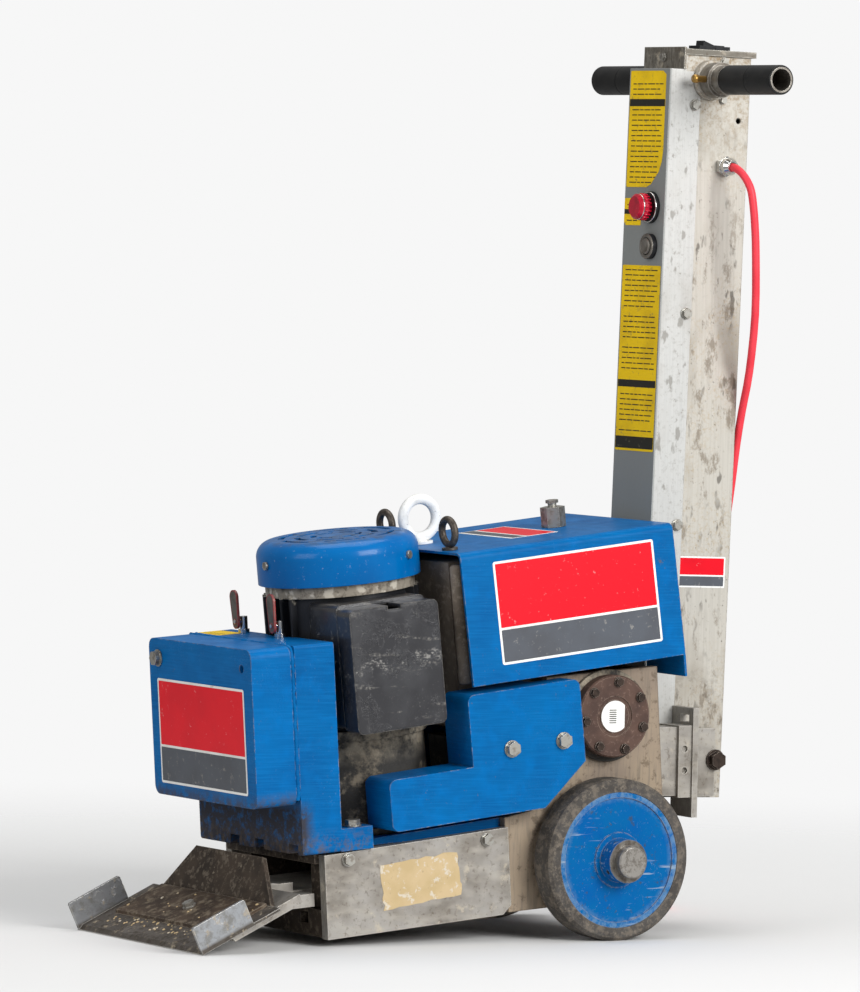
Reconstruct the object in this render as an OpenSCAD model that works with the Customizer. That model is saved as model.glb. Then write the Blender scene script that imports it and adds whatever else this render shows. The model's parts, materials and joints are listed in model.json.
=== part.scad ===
// Walk-behind floor stripper with an oscillating blade and hydraulic drive.
// Front is -Y, the operator stands at +Y, up is +Z, and the floor is z = 0.

/* [Stance] */
// Nose-down pitch of the chassis, standing on its wheels and its blade
chassis_pitch = 4.3; // [3:0.1:6]
// Nose-down pitch of the deck that carries the motor, the guards and the hood
deck_pitch = 6.8; // [5.5:0.1:8]
// Backward lean of the column
column_recline = 1.4; // [0:0.1:3]

/* [Chassis] */
// Width over the two side plates
chassis_w = 250; // [210:5:300]
// Thickness of a side plate
side_t = 14; // [10:1:18]
// Distance from the axle to the front of the side plates
chassis_reach = 390; // [370:5:480]
// Distance from the axle to the rear end of the side plates
side_back = 131; // [120:1:135]
// Thickness of the top plate
top_t = 14; // [8:1:16]
// Height of the top plate's upper face over the axle
top_z = 44; // [40:1:50]
// Thickness of the bottom plate
floor_t = 9; // [6:1:12]

/* [Wheels] */
// Outer diameter of the tyres
wheel_d = 200; // [165:5:240]
// Width of a tyre
tyre_w = 41; // [32:1:50]
// Radial thickness of the tyre rubber
tyre_wall = 16; // [10:1:22]
// Diameter of the axle
axle_d = 40; // [30:1:48]
// Gap between a side wall and a tyre
wheel_gap = 3; // [3:1:8]
// How far the axle stands out past the tyre
axle_stub = 34; // [28:1:45]

/* [Blade] */
// Distance from the axle to the cutting edge
blade_reach = 577; // [560:1:680]
// Width of the blade
blade_w = 324; // [260:2:400]
// Length of the blade from its edge to its back
blade_len = 118; // [110:1:140]
// Thickness of the blade
blade_t = 4; // [2:0.5:5]
// Height of the turned-up wings
wing_h = 36; // [20:1:44]
// Length of the turned-up wings
wing_len = 77; // [50:1:90]
// Angle of the blade to the floor
blade_attack = 25.5; // [20:0.5:30]
// Half of the blade's stroke
stroke = 3; // [1:0.5:4]

/* [Front weight] */
// Width of the weight and its bracket
weight_w = 260; // [220:2:310]
// Height of the weight
weight_h = 193; // [150:1:230]
// Thickness of the weight
weight_t = 55; // [40:1:66]
// Thickness of the bracket behind the weight
bracket_t = 55; // [45:1:64]

/* [Motor] */
// Distance from the axle to the motor's axis
motor_reach = 266; // [262:1:320]
// Diameter of the fan cowl
cowl_d = 200; // [168:2:220]
// Height of the fan cowl
cowl_h = 53; // [45:1:64]
// Height of the finned frame
frame_h = 166; // [140:1:200]
// Diameter of the motor shaft
shaft_d = 28; // [24:1:32]
// Width of the terminal box
box_w = 124; // [100:1:130]
// Height of the terminal box
box_h = 152; // [128:1:160]

/* [Hood and guards] */
// Length of the hood
hood_l = 306; // [276:1:310]
// Width of the hood along its lower edge
hood_w = 282; // [270:1:340]
// Height of the hood's top over the axle
hood_z = 400; // [392:1:470]
// Depth of the hood's side walls
hood_h = 164; // [140:1:170]
// Thickness of the hood's sheet
hood_t = 3; // [2:0.5:4]
// Depth of a guard's folded rim
guard_depth = 60; // [40:1:64]
// Thickness of a guard's sheet
guard_t = 4; // [3:0.5:5]

/* [Drive] */
// Radius of the hydraulic drive motor's end cap
cap_r = 51; // [42:1:56]
// Number of end cap screws
cap_screws = 7; // [5:1:9]
// Height of the drive motor over the axle
drive_z = 175; // [160:1:190]

/* [Column] */
// Width of the column
column_w = 90.6; // [80:0.2:104]
// Depth of the column
column_d = 116; // [106:1:130]
// Height of the column's top over the axle
column_top = 998; // [830:1:1190]
// Thickness of the column's sheet
column_t = 3; // [2:0.5:4]

/* [Handlebar and controls] */
// Width over the handlebar
bar_w = 422; // [360:2:520]
// Outer diameter of the handlebar tube
bar_d = 32; // [26:1:36]
// Outer diameter of the grips
grip_d = 37; // [36:1:44]
// Length of a grip
grip_l = 116; // [90:1:130]
// Diameter of the emergency stop's head
estop_d = 32; // [26:1:40]
// Travel of the emergency stop
estop_travel = 5; // [3:0.5:6]
// Travel of the start button
button_travel = 3; // [2:0.5:4]

/* [Hidden] */

$fn = 48;
// Clearance between curved faces of pieces that touch
gap = 0.3;
// Radial clearance of a running fit
run = 0.05;
// Gap between plates that lie side by side
fit = 0.2;

// --- places shared by several pieces ---
wheel_r = wheel_d / 2;
axle_r = axle_d / 2;
wall_t = 12;
wall_x = chassis_w / 2 - 8;              // outer face of a rear wall
tyre_in = wall_x + 8 + wheel_gap;        // inner face of a tyre
tyre_out = tyre_in + tyre_w;
column_back = 104 + column_d;            // rear face of the column, from the axle
column_low = 68;                         // lower end of the column over the axle
front_y = -(blade_reach + wing_h * sin(blade_attack));
rear_y = column_back * cos(column_recline) + (column_top + 8) * sin(column_recline);
axle_y = -(front_y + rear_y) / 2;        // puts the origin under the middle of the machine

// deck heights, over the axle, in the deck's own frame
deck_top = 66;
bell_h = 130 - 13;
flange_r = cowl_d / 2 - 8;
bell_r = cowl_d / 2 - 12;
frame_r = cowl_d / 2 - 15;
fin_h = 11;
frame_z = deck_top + 8 + bell_h + 5;     // underside of the motor frame
shield_z = frame_z + frame_h;            // underside of the cowl's seat
cowl_z = shield_z + 13;
box_z = frame_z + 4;
box_x = wall_x + 33;                     // outer face of the terminal lid and of the guards
box_y = -motor_reach - 74;               // front edge of the terminal box

// weight, in the chassis frame
weight_front = -(chassis_reach + 92);
weight_back = weight_front + weight_t;
bracket_front = weight_back + 5;
bracket_back = bracket_front + bracket_t;
weight_low = top_z + 62;
weight_top = weight_low + weight_h;

// column controls, in the column's frame
cover_y = 100;                           // front face of the cover
cover_x = column_w / 2 + fit + 2;        // half the width over the cover
bar_y = cover_y + 60;
bar_z = column_top - 30;
ring_d = 50;                             // diameter of the bar's bearing flanges
estop_x = 17;
estop_z = column_top - 192;
start_z = estop_z - 49;
gland_y = cover_y + 86;
gland_z = column_top - 137;
rocker_y = cover_y + 86;

// pivot of the column, from the axle and level with the floor
pivot_y = column_back - 12;
pivot_z = 111;
pivot_r = 6;
bracket_x = cover_x + 0.8;               // inner face of a column bracket

// blade drive
carrier_z = -24;                         // underside of the carrier
carrier_t = 20;
carrier_w = 150;
eccentric_r = 25;

// hydraulic drive
drive_y = 7;
sprocket_x = -60;                        // middle of the chain
drive_teeth = 10;
axle_teeth = 20;
pitch_r = 16;                            // pitch radius of the small sprocket
cap_x = wall_x + 2;
cap_flange = 6;
cap_t = 16;

// lead
lead_r = 5;
coil_mid = 50;
coil_band = 20;
coil_x = -205;
coil_y = 251;
coil_h = 20;
// from the gland down to the foot of the column, from the axle
lead_route = [
    [52, 207, 856], [71, 207, 856], [82, 207, 856], [92, 209, 849], [99, 213, 829], [103, 217, 795],
    [103, 221, 747], [97, 226, 672], [74, 234, 600], [50, 240, 551], [34, 243, 507], [16, 246, 440],
    [-6, 249, 370], [-30, 249, 300], [-58, 246, 235], [-82, 238, 180], [-100, 226, 132], [-109, 214, 98],
    [-112, 208, 72]
];
// from there down to the floor and up to the coil
tail_route = [
    [-112, 208, 70.4], [-112, 208, 40], [-112, 207, 5], [-113.5, 206, -25], [-118, 204, -50], [-127, 201, -71],
    [-142, 199, -87], [-157, 198, -93.6], [-171, 197, -94.8]
];

steel = "#9a9a96";
dirty = "#5b5349";
blue = "#0065b3";
black = "#222325";

// --- frames ---
module at_axle() translate([0, axle_y, wheel_r]) children();
module in_chassis() at_axle() rotate([chassis_pitch, 0, 0]) children();
module in_deck() at_axle() rotate([deck_pitch, 0, 0]) children();
module in_column() at_axle() rotate([-column_recline, 0, 0]) children();
module in_blade() at_axle() translate([0, -blade_reach, -wheel_r]) rotate([blade_attack, 0, 0]) children();

// --- helpers ---
// Box given by its low and high corners
module span(a, b) translate(a) cube(b - a);

// Mirrors its child to both sides of the machine
module both_sides() {
    children();
    mirror([1, 0, 0]) children();
}

// Extrudes a (y, z) outline along X from x0 to x1
module along_x(x0, x1) translate([x0, 0, 0]) rotate([90, 0, 90]) linear_extrude(x1 - x0) children();

// Extrudes an (x, z) outline along Y from y0 to y1
module along_y(y0, y1) translate([0, y1, 0]) rotate([90, 0, 0]) linear_extrude(y1 - y0) children();

// Rectangle with round corners, from its low corner
module round_rect(w, h, r) {
    translate([r, 0]) square([w - 2 * r, h]);
    translate([0, r]) square([w, h - 2 * r]);
    for (x = [r, w - r], y = [r, h - r]) translate([x, y]) circle(r);
}

// Hexagon head bolt along +Z: the head's underside is at z = 0 and the shank goes down
module hex_bolt(d, shank) {
    translate([0, 0, 1.6]) cylinder(d = d * 1.85, h = d * 0.65, $fn = 6);
    cylinder(d = d * 2.1, h = 1.6);
    translate([0, 0, -shank]) cylinder(d = d, h = shank + 1);
}

// Ring standing on z = 0 with its hole along Y
module eye_ring(outer, inner, stem_d, stem_h) {
    section = (outer - inner) / 2;
    translate([0, 0, stem_h + outer / 2 - 2]) rotate([90, 0, 0])
        rotate_extrude() translate([(outer + inner) / 4, 0]) circle(d = section);
    cylinder(d1 = stem_d * 1.5, d2 = stem_d, h = stem_h);
    cylinder(d = stem_d * 2.2, h = 3);
}

// --- chassis ---
module side_plate() {
    rear_rise = 9;
    along_x(chassis_w / 2 - side_t, chassis_w / 2) difference() {
        polygon([
            [-chassis_reach, -62], [-chassis_reach, top_z - 3], [-side_back, top_z - 3 + rear_rise],
            [-side_back, -46], [-side_back - 12, -57]
        ]);
        translate([-chassis_reach + 32, top_z - 11]) circle(4.2);
        translate([-side_back - 31, top_z - 6]) circle(4.2);
    }
}

module side_plate_left() color(steel) in_chassis() side_plate();
module side_plate_right() color(steel) in_chassis() mirror([1, 0, 0]) side_plate();

module top_plate() color(dirty) in_chassis() difference() {
    half = chassis_w / 2 - side_t - fit;
    span([-half, -chassis_reach - 6, top_z - top_t], [half, -side_back - 6, top_z]);
    translate([0, -motor_reach - 4, 0]) cylinder(d = shaft_d * 2 + 12, h = 100);
}

module cross_plates() color(dirty) in_chassis() {
    half = chassis_w / 2 - side_t - fit;
    pad_top = carrier_z - 0.4;
    span([-half, -chassis_reach + 2, -61], [half, -side_back - 14, -61 + floor_t]);
    difference() {
        span([-half, -chassis_reach + 2, -61], [half, -chassis_reach + 12, carrier_z - 3]);
        both_sides() span([55, -chassis_reach, -46], [74, -chassis_reach + 20, -32]);
    }
    both_sides() {
        span([40, -chassis_reach + 30, -55], [70, -chassis_reach + 200, pad_top]);
        span([carrier_w / 2 + 0.6, -chassis_reach + 8, -55], [half, -chassis_reach + 90, top_z - top_t - fit]);
    }
    // plates between the rear walls
    between = wall_x - wall_t - fit;
    span([-between, 80, -20], [between, 90, 226]);
    span([-between, -side_back + 2, -52], [between, -40, -44]);
}

module rear_wall(bore) {
    difference() {
        along_x(wall_x - wall_t, wall_x) difference() {
            union() {
                polygon([
                    [-side_back + fit, -56], [-side_back + fit, 61], [-92, 66], [-62, 100], [-62, 228],
                    [98, 228], [98, 40], [66, -34], [30, -56]
                ]);
                circle(34);
            }
            circle(axle_r + run);
        }
        rotate([-chassis_pitch, 0, 0]) translate([0, drive_y, drive_z]) rotate([0, 90, 0])
            cylinder(r = bore, h = chassis_w);
    }
}

module rear_wall_left() color("#b9b3a2") in_chassis() rear_wall(cap_r - 5);
module rear_wall_right() color("#b9b3a2") in_chassis() mirror([1, 0, 0]) rear_wall(14 + run);

module deck() color(blue) difference() {
    // wedge between the chassis top and the pitched deck
    slope = deck_pitch - chassis_pitch;
    in_deck() along_x(-wall_x + wall_t + fit, wall_x - wall_t - fit) difference() {
        translate([-motor_reach - 96, 0]) square([motor_reach + 36, deck_top]);
        rotate(-slope) translate([-800, top_z - 400 + fit]) square([1600, 400]);
    }
    in_deck() translate([0, -motor_reach, -50]) cylinder(r = 34, h = 200);
    // room for the bracket's feet on a wide chassis
    in_chassis() both_sides() span([weight_w / 2 - 25, bracket_back - 3, top_z], [weight_w, bracket_back + 44, top_z + 99]);
}

module hex_bolts() color(steel) {
    in_chassis() {
        both_sides() {
            for (p = [[-chassis_reach + 32, top_z - 11], [-side_back - 31, top_z - 6]])
                translate([chassis_w / 2 + 0.2, p[0], p[1]]) rotate([0, 90, 0]) hex_bolt(8, side_t - 1);
            translate([weight_w / 2 - 12, bracket_back + 22, top_z + 28.2]) hex_bolt(10, 18);
        }
        translate([-(weight_w / 2 - 24), weight_front - 0.2, weight_top - 24]) rotate([90, 0, 0])
            hex_bolt(10, weight_t + 20);
    }
    in_deck() both_sides() for (y = [-129, -55])
        translate([box_x + 0.2, y, 155]) rotate([0, 90, 0]) hex_bolt(10, 12);
    at_axle() both_sides() for (z = [84, 142])
        translate([78, 156.2, z]) rotate([-90, 0, 0]) hex_bolt(8, 20);
}

// --- front weight ---
module weight_bracket() color(blue) in_chassis() difference() {
    union() {
        along_y(bracket_front, bracket_back) translate([-weight_w / 2, top_z + fit])
            round_rect(weight_w, weight_top - top_z, 4);
        both_sides() span([weight_w / 2 - 24, bracket_back - 2, top_z + fit], [weight_w / 2, bracket_back + 43, top_z + 28]);
    }
    // notches in the lower front edge
    for (x = [-52, 10, 96]) span([x, bracket_front - 1, top_z - 1], [x + 22, bracket_front + 14, top_z + 12]);
    // recess behind the bracket that clears the motor
    in_recess() cylinder(r = flange_r + 4, h = 500);
    both_sides() translate([weight_w / 2 - 12, bracket_back + 22, top_z]) cylinder(d = 10.4, h = 60);
    for (x = [-1, 1]) translate([x * (weight_w / 2 - 24), 0, weight_top - 24]) rotate([-90, 0, 0])
        translate([0, 0, bracket_front - 1]) cylinder(r = 5.2, h = 30);
}

// The motor's axis seen from the chassis frame
module in_recess() rotate([deck_pitch - chassis_pitch, 0, 0]) translate([0, -motor_reach, -100]) children();

module front_weight() color(blue) in_chassis() difference() {
    along_y(weight_front, weight_back) translate([-weight_w / 2, weight_low])
        round_rect(weight_w, weight_h, 12);
    for (x = [-1, 1]) translate([x * (weight_w / 2 - 24), weight_front - 1, weight_top - 24])
        rotate([-90, 0, 0]) cylinder(r = 5.2, h = weight_t + 2);
}

// --- hydraulic isolating valves on the bracket ---
valve_y = bracket_back - 21;
valve_z = weight_top + 15;
valve_left_x = -71;
valve_right_x = 21;

module valve_bodies() color("#c8c8c8") in_chassis() for (x = [valve_left_x, valve_right_x]) {
    translate([x, valve_y + 8, weight_top + fit]) cylinder(d = 14, h = 5);
    translate([x, valve_y + 8, weight_top + 5]) cylinder(d = 10, h = 16);
    translate([x, valve_y + 6, valve_z]) rotate([90, 0, 0]) cylinder(d = 5, h = 11);
}

module valve_lever(lean) translate([0, valve_y - 0.6, valve_z]) rotate([90, 0, 0]) rotate(lean) difference() {
    linear_extrude(3) {
        translate([0, -2]) circle(7);
        polygon([[-7, -2], [7, -2], [9, 30], [-9, 30]]);
        translate([0, 30]) circle(9);
    }
    translate([0, 0, -1]) cylinder(r = 2.5 + run, h = 10);
}

module valve_lever_left() color("#8c2f36") in_chassis() translate([valve_left_x, 0, 0]) valve_lever(6);
module valve_lever_right() color("#8c2f36") in_chassis() translate([valve_right_x, 0, 0]) valve_lever(4);

// --- blade ---
clamp_s = blade_len - 75;                // front edge of the clamp plate
clamp_bolt_s = clamp_s + 37;
clamp_t = 4;

module blade() color(steel) in_blade() difference() {
    half = blade_w / 2;
    union() {
        along_x(-half, half) polygon([[0, 0], [blade_t * 2, blade_t], [blade_len, blade_t], [blade_len, 0]]);
        both_sides() along_x(half - blade_t, half) translate([1, 0]) round_rect(wing_len, wing_h, 3);
    }
    translate([0, clamp_bolt_s, -1]) cylinder(r = 4.3, h = blade_t + 2);
}

module blade_clamp_plate() color("#4a3a30") in_blade() difference() {
    half = blade_w / 2 - 29;
    top = blade_t + clamp_t;
    along_x(-half, half) polygon([[clamp_s, blade_t], [clamp_s + 3, top], [blade_len - 2, top], [blade_len - 2, blade_t]]);
    translate([0, clamp_bolt_s, 0]) cylinder(r = 4.3, h = 40);
}

module blade_clamp_bolt() color(steel) in_blade() translate([0, clamp_bolt_s, blade_t + clamp_t + 0.2]) hex_bolt(8, 18);

seat_front = 50;
seat_t = 12;
seat_back = blade_len + 40;

module blade_seat() color(steel) in_blade() difference() {
    half = blade_w / 2 - 20;
    along_x(-half, half) polygon([
        [seat_front, 0], [seat_front + 6, -seat_t], [seat_back, -seat_t], [seat_back, 0]
    ]);
    translate([0, clamp_bolt_s, -30]) cylinder(r = 4 + run, h = 40);
}

module deflector() color(dirty) in_blade() translate([0, blade_len + 4.6, 0.2])
    rotate([46.8, 0, 0]) linear_extrude(6) polygon([
        [-blade_w / 2 + 24, 0], [blade_w / 2 - 24, 0], [blade_w / 2 - 78, 56], [-blade_w / 2 + 78, 56]
    ]);

// A point of the blade's frame as (y, z) from the axle, level with the floor
function blade_point(s, n) = [
    -blade_reach + s * cos(blade_attack) - n * sin(blade_attack),
    -wheel_r + s * sin(blade_attack) + n * cos(blade_attack)
];

// A point of the chassis frame as (y, z) from the axle, level with the floor
function chassis_point(y, z) = [
    y * cos(chassis_pitch) - z * sin(chassis_pitch),
    y * sin(chassis_pitch) + z * cos(chassis_pitch)
];

module blade_carrier() color(steel) difference() {
    front = -chassis_reach - 30;
    top = carrier_z + carrier_t;
    at_axle() {
        rotate([chassis_pitch, 0, 0]) {
            span([-carrier_w / 2, front, carrier_z], [carrier_w / 2, -motor_reach + 60, top]);
            both_sides() span([carrier_w / 2 - 1, front - 10, carrier_z + 2], [carrier_w / 2 + 31, front + 24, top - 2]);
        }
        // bridge from the seat of the blade back to the carrier
        along_x(-carrier_w / 2, carrier_w / 2) polygon([
            blade_point(seat_back - 18, 0.2), blade_point(seat_back, 0.2), chassis_point(front + 1, top - 3),
            chassis_point(front + 12, top - 3), chassis_point(front + 12, top + 10), chassis_point(front - 6, top + 10),
            blade_point(seat_back - 8, 12), blade_point(seat_back - 17, 10)
        ]);
    }
    // pocket around the eccentric, wide enough for both strokes
    in_chassis() translate([0, -motor_reach, carrier_z - 5])
        cylinder(r = eccentric_r + 2 * stroke + 2, h = carrier_t + 20);
}

// --- motor ---
module in_motor() in_deck() translate([0, -motor_reach, 0]) children();

module motor_bell() color("#3b3a37") in_motor() difference() {
    union() {
        translate([0, 0, deck_top + fit]) cylinder(r = flange_r, h = 8, $fn = 96);
        translate([0, 0, deck_top + 7]) cylinder(r = bell_r, h = bell_h + 1, $fn = 96);
        translate([0, 0, frame_z - 13]) cylinder(r = flange_r, h = 12.8, $fn = 96);
    }
    translate([0, 0, deck_top - 1]) cylinder(r = bell_r - 9, h = bell_h - 6);
    translate([0, 0, deck_top]) cylinder(r = 26 + run, h = bell_h + 30);
}

module motor_frame() color(black) in_motor() difference() {
    union() {
        translate([0, 0, frame_z]) cylinder(r = frame_r, h = frame_h, $fn = 96);
        translate([0, 0, shield_z - 1]) cylinder(r = flange_r, h = 13.8, $fn = 96);
        intersection() {
            for (a = [0:10:350]) if (abs(a - 340) > 45 && a > 35) rotate(a) translate([0, -1.2, frame_z + 6])
                cube([frame_r + fin_h, 2.4, frame_h - 6]);
            translate([0, 0, frame_z]) cylinder(r = frame_r + fin_h, h = frame_h);
        }
    }
    translate([0, 0, frame_z - 1]) cylinder(r = frame_r - 8, h = frame_h - 6);
    translate([0, 0, frame_z]) cylinder(r = 20 + run, h = frame_h + 40);
}

module stator() color("#7a4a2a") in_motor() difference() {
    translate([0, 0, frame_z + 30]) cylinder(r = frame_r - 8 - run, h = frame_h - 60);
    translate([0, 0, frame_z + 20]) cylinder(r = frame_r * 0.52, h = frame_h);
}

module rotor() color("#8f8f8f") in_motor() {
    shaft_r = shaft_d / 2;
    eccentric_z = carrier_z + 2 + motor_reach * sin(deck_pitch - chassis_pitch);
    translate([0, 0, eccentric_z - 6]) cylinder(r = shaft_r, h = cowl_z + 24 - eccentric_z);
    translate([0, 0, frame_z + 34]) cylinder(r = frame_r * 0.52 - 0.5, h = frame_h - 68);
    translate([stroke, 0, eccentric_z]) cylinder(r = eccentric_r, h = 16);
    translate([0, 0, cowl_z + 6]) for (a = [0:45:315]) rotate(a) translate([0, -1.5, 0]) cube([cowl_d / 2 - 18, 3, 18]);
    translate([0, 0, cowl_z + 4]) cylinder(r = cowl_d / 2 - 16, h = 3);
    translate([0, 0, deck_top + bell_h - 8]) cylinder(r = 26, h = 14);
    translate([0, 0, shield_z - 6]) cylinder(r = 20, h = 14);
}

module fan_cowl() color(blue) in_motor() translate([0, 0, cowl_z + fit]) difference() {
    r = cowl_d / 2;
    edge = 20;
    rotate_extrude($fn = 96) difference() {
        union() {
            square([r, cowl_h - edge]);
            square([r - edge, cowl_h]);
            translate([r - edge, cowl_h - edge]) circle(edge);
        }
        translate([0, -1]) square([r - 2.5, cowl_h - edge + 1]);
        square([r - edge, cowl_h - 2.5]);
        translate([r - edge, cowl_h - edge]) circle(edge - 2.5);
    }
    // rings of air slots in the top
    for (k = [0:2]) for (a = [0:1:5]) rotate(a * 60 + k * 20) linear_extrude(200) intersection() {
        difference() {
            circle(24 + k * 20 + 8);
            circle(24 + k * 20);
        }
        polygon([[0, 0], [200, -80], [200, 80]]);
    }
    for (a = [-90, 30, 150]) rotate(a) translate([r - 12, 0, cowl_h - 26]) rotate([0, 90, 0]) cylinder(r = 2.4, h = 40);
}

module cowl_screws() color(steel) in_motor() translate([0, 0, cowl_z + cowl_h - 26 + fit])
    for (a = [-90, 30, 150]) rotate(a) translate([cowl_d / 2 - 14, 0, 0]) rotate([0, 90, 0]) {
        cylinder(r = 2.1, h = 16);
        translate([0, 0, 14.4]) cylinder(r = 5, h = 3);
    }

module terminal_box() color(black) in_deck() difference() {
    along_x(50, box_x - 32.2) translate([box_y, box_z + 4]) round_rect(box_w, box_h, 8);
    translate([0, -motor_reach, 0]) cylinder(r = frame_r + gap, h = 600, $fn = 96);
    along_x(box_x - 60, box_x) translate([box_y + 6, box_z + 10]) round_rect(box_w - 12, box_h - 12, 5);
}

module terminal_lid() color(black) in_deck() difference() {
    along_x(box_x - 32, box_x) translate([box_y, box_z]) round_rect(box_w, box_h, 8);
    along_x(box_x - 40, box_x - 4) translate([box_y + 5, box_z + 5]) round_rect(box_w - 10, box_h - 10, 5);
    along_x(box_x - 40, box_x + 1) translate([box_y + box_w / 2 - 8, box_z + box_h - 5]) square([18, 10]);
}

module hydraulic_pump() color("#54524c") in_deck() {
    translate([0, -118, deck_top + fit]) {
        cylinder(r = 22, h = 60);
        translate([-30, -24, 60 - 8]) cube([60, 48, 44]);
    }
}

// --- guards ---
guard_low = 76;
guard_lip = 140;
guard_top = 228;
guard_front = -304;
guard_step = -185;
guard_rear = -25;

// Outline of a guard as (y, z), drawn t inside its edge with round corners of radius r
module guard_outline(t, r) {
    low = guard_low + t;
    lip = guard_lip - t;
    top = guard_top - t;
    front = guard_front + t;
    step = guard_step + t;
    rear = guard_rear - t;
    polygon([
        [front + r, low], [rear - 63 + t * 0.5, low], [rear, 126 + t * 0.5], [rear, top - r], [rear - r, top],
        [step + r, top], [step, top - r], [step, lip], [front + r, lip], [front, lip - r], [front, low + r]
    ]);
    for (p = [[front + r, low + r], [front + r, lip - r], [step + r, top - r], [rear - r, top - r]])
        translate(p) circle(r);
}

// Room that a guard leaves for the tyre, t wider than its edge needs
module tyre_room(t) rotate([0, 90, 0]) cylinder(r = wheel_r + 6 + t, h = 300, $fn = 96);

module guard() difference() {
    along_x(box_x - guard_depth, box_x) guard_outline(0, 10);
    difference() {
        along_x(box_x - guard_depth - 1, box_x - guard_t) guard_outline(guard_t, 6);
        tyre_room(guard_t);
    }
    tyre_room(0);
    for (y = [-129, -55]) translate([0, y, 155]) rotate([0, 90, 0]) cylinder(r = 5.2, h = 300);
    // room for the rear wall and for the drive motor's flange
    along_x(0, wall_x + fit) translate([-74, 0]) square([400, 400]);
    rotate([-deck_pitch, 0, 0]) translate([0, drive_y, drive_z]) rotate([0, 90, 0])
        cylinder(r = cap_r + 8, h = cap_x + 8);
}

module guard_left() color(blue) in_deck() guard();
module guard_right() color(blue) in_deck() mirror([1, 0, 0]) guard();

// --- hood and what stands on it ---
hood_rear = 136;
hood_front = hood_rear - hood_l;
hood_low = hood_z - hood_h;

// Cross-section of the hood as (x, z), drawn t inside its edge
module hood_section(t, low) {
    r = 9 - t;
    half = hood_w / 2 - 7 - t;
    foot = hood_w / 2 - t;
    top = hood_z - t;
    polygon([[-foot, low], [foot, low], [half, top - r], [half - r, top], [-half + r, top], [-half, top - r]]);
    for (x = [-half + r, half - r]) translate([x, top - r]) circle(r);
}

module hood() color(blue) in_deck() difference() {
    union() {
        along_y(hood_front, hood_rear) hood_section(0, hood_low);
        span([-hood_w / 2, hood_rear - hood_t, hood_low - 27], [hood_w / 2, hood_rear, hood_low + 1]);
    }
    along_y(hood_front - 1, hood_rear - hood_t) hood_section(hood_t, hood_low - 30);
    translate([0, -motor_reach, 0]) cylinder(r = cowl_d / 2 + 2, h = 600, $fn = 96);
    translate([0, 45, 0]) cylinder(r = 14, h = 600);
    // room for the column
    span([-cover_x - 4, hood_rear - hood_t - 1, hood_low - 30], [cover_x + 4, hood_rear + 1, hood_low + 44]);
}

module eyebolts() color(steel) in_deck() {
    translate([84, hood_front + 15, hood_z + fit]) eye_ring(40, 22, 9, 4);
    translate([-84, hood_front + 23, hood_z + fit]) eye_ring(40, 22, 9, 4);
}

module lifting_eye() color("#e6e6e2") in_deck() translate([-20, hood_front + 35, hood_z + fit]) rotate(90)
    eye_ring(60, 34, 13, 4);

module oil_tank() color(dirty) in_deck() difference() {
    wall = 3;
    top = hood_z - 15;
    union() {
        span([-86, -160, 180], [86, -38, top]);
        span([-86, -40, 240], [86, 100, top]);
    }
    span([-86 + wall, -160 + wall, 180 + wall], [86 - wall, -38 - wall, top - wall]);
    span([-86 + wall, -50, 240 + wall], [86 - wall, 100 - wall, top - wall]);
    translate([0, 45, top - 10]) cylinder(r = 12, h = 20);
}

module filler_breather() color(steel) in_deck() translate([0, 45, 0]) {
    translate([0, 0, hood_z + fit]) cylinder(d = 31, h = 25, $fn = 6);
    translate([0, 0, hood_z + 25]) cylinder(d = 11, h = 6);
    translate([0, 0, hood_z + 30]) cylinder(d = 16, h = 4, $fn = 6);
    translate([0, 0, hood_z - 30]) cylinder(r = 11.7, h = 32);
}

module motor_lead() color("#d8404a") in_deck() difference() {
    tube(bend([
        [-52, -158, 372], [-60, -172, 366], [-76, -190, 356], [-92, -206, 342], [-102, -222, 322], [-101, -238, 300],
        [-92, -250, 284], [-85, -256, 276]
    ], 2), 4.5);
    span([-100, -160.3, 300], [0, -100, 420]);
    translate([0, -motor_reach, frame_z]) cylinder(r = frame_r + fin_h + 0.3, h = frame_h + 20);
}

// --- drive ---
module in_drive() at_axle() translate([0, drive_y, drive_z]) rotate([0, 90, 0]) children();

module drive_motor() color("#3a3632") in_drive() difference() {
    union() {
        translate([0, 0, 20]) cylinder(r = cap_r - 6, h = cap_x - 20);
        translate([0, 0, wall_x + fit]) cylinder(r = cap_r + 6, h = cap_flange);
    }
    translate([0, 0, 10]) cylinder(r = 14 + run, h = cap_x - 20);
}

module drive_motor_cap() color("#5a3f38") in_drive() difference() {
    low = wall_x + cap_flange + 2 * fit;
    union() {
        translate([0, 0, low]) cylinder(r = cap_r, h = cap_t - 2);
        translate([0, 0, low + cap_t - 2]) cylinder(r1 = cap_r, r2 = cap_r - 2, h = 2);
    }
    translate([0, 0, low + cap_t - 1.5]) difference() {
        cylinder(r = cap_r * 0.49, h = 10);
        cylinder(r = cap_r * 0.4, h = 10);
    }
    cap_circle() translate([0, 0, low + cap_t - 12]) cylinder(r = 3.3, h = 30);
}

// Puts its child on every screw of the cap
module cap_circle() for (k = [0:cap_screws - 1])
    rotate(174.5 - k * 360 / cap_screws) translate([cap_r * 0.84, 0, 0]) children();

module cap_bolts() color(steel) in_drive() cap_circle()
    translate([0, 0, wall_x + cap_flange + cap_t + 3 * fit]) hex_bolt(6, 11);

// Toothed wheel on the Z axis, low enough to pass under the rollers of the chain
module sprocket(teeth, r, t) {
    cylinder(r = r - 4.6, h = t);
    for (k = [0:teeth - 1]) rotate(k * 360 / teeth) linear_extrude(t)
        polygon([[r - 7, -2.4], [r - 3.2, -1], [r - 3.2, 1], [r - 7, 2.4]]);
}

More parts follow.
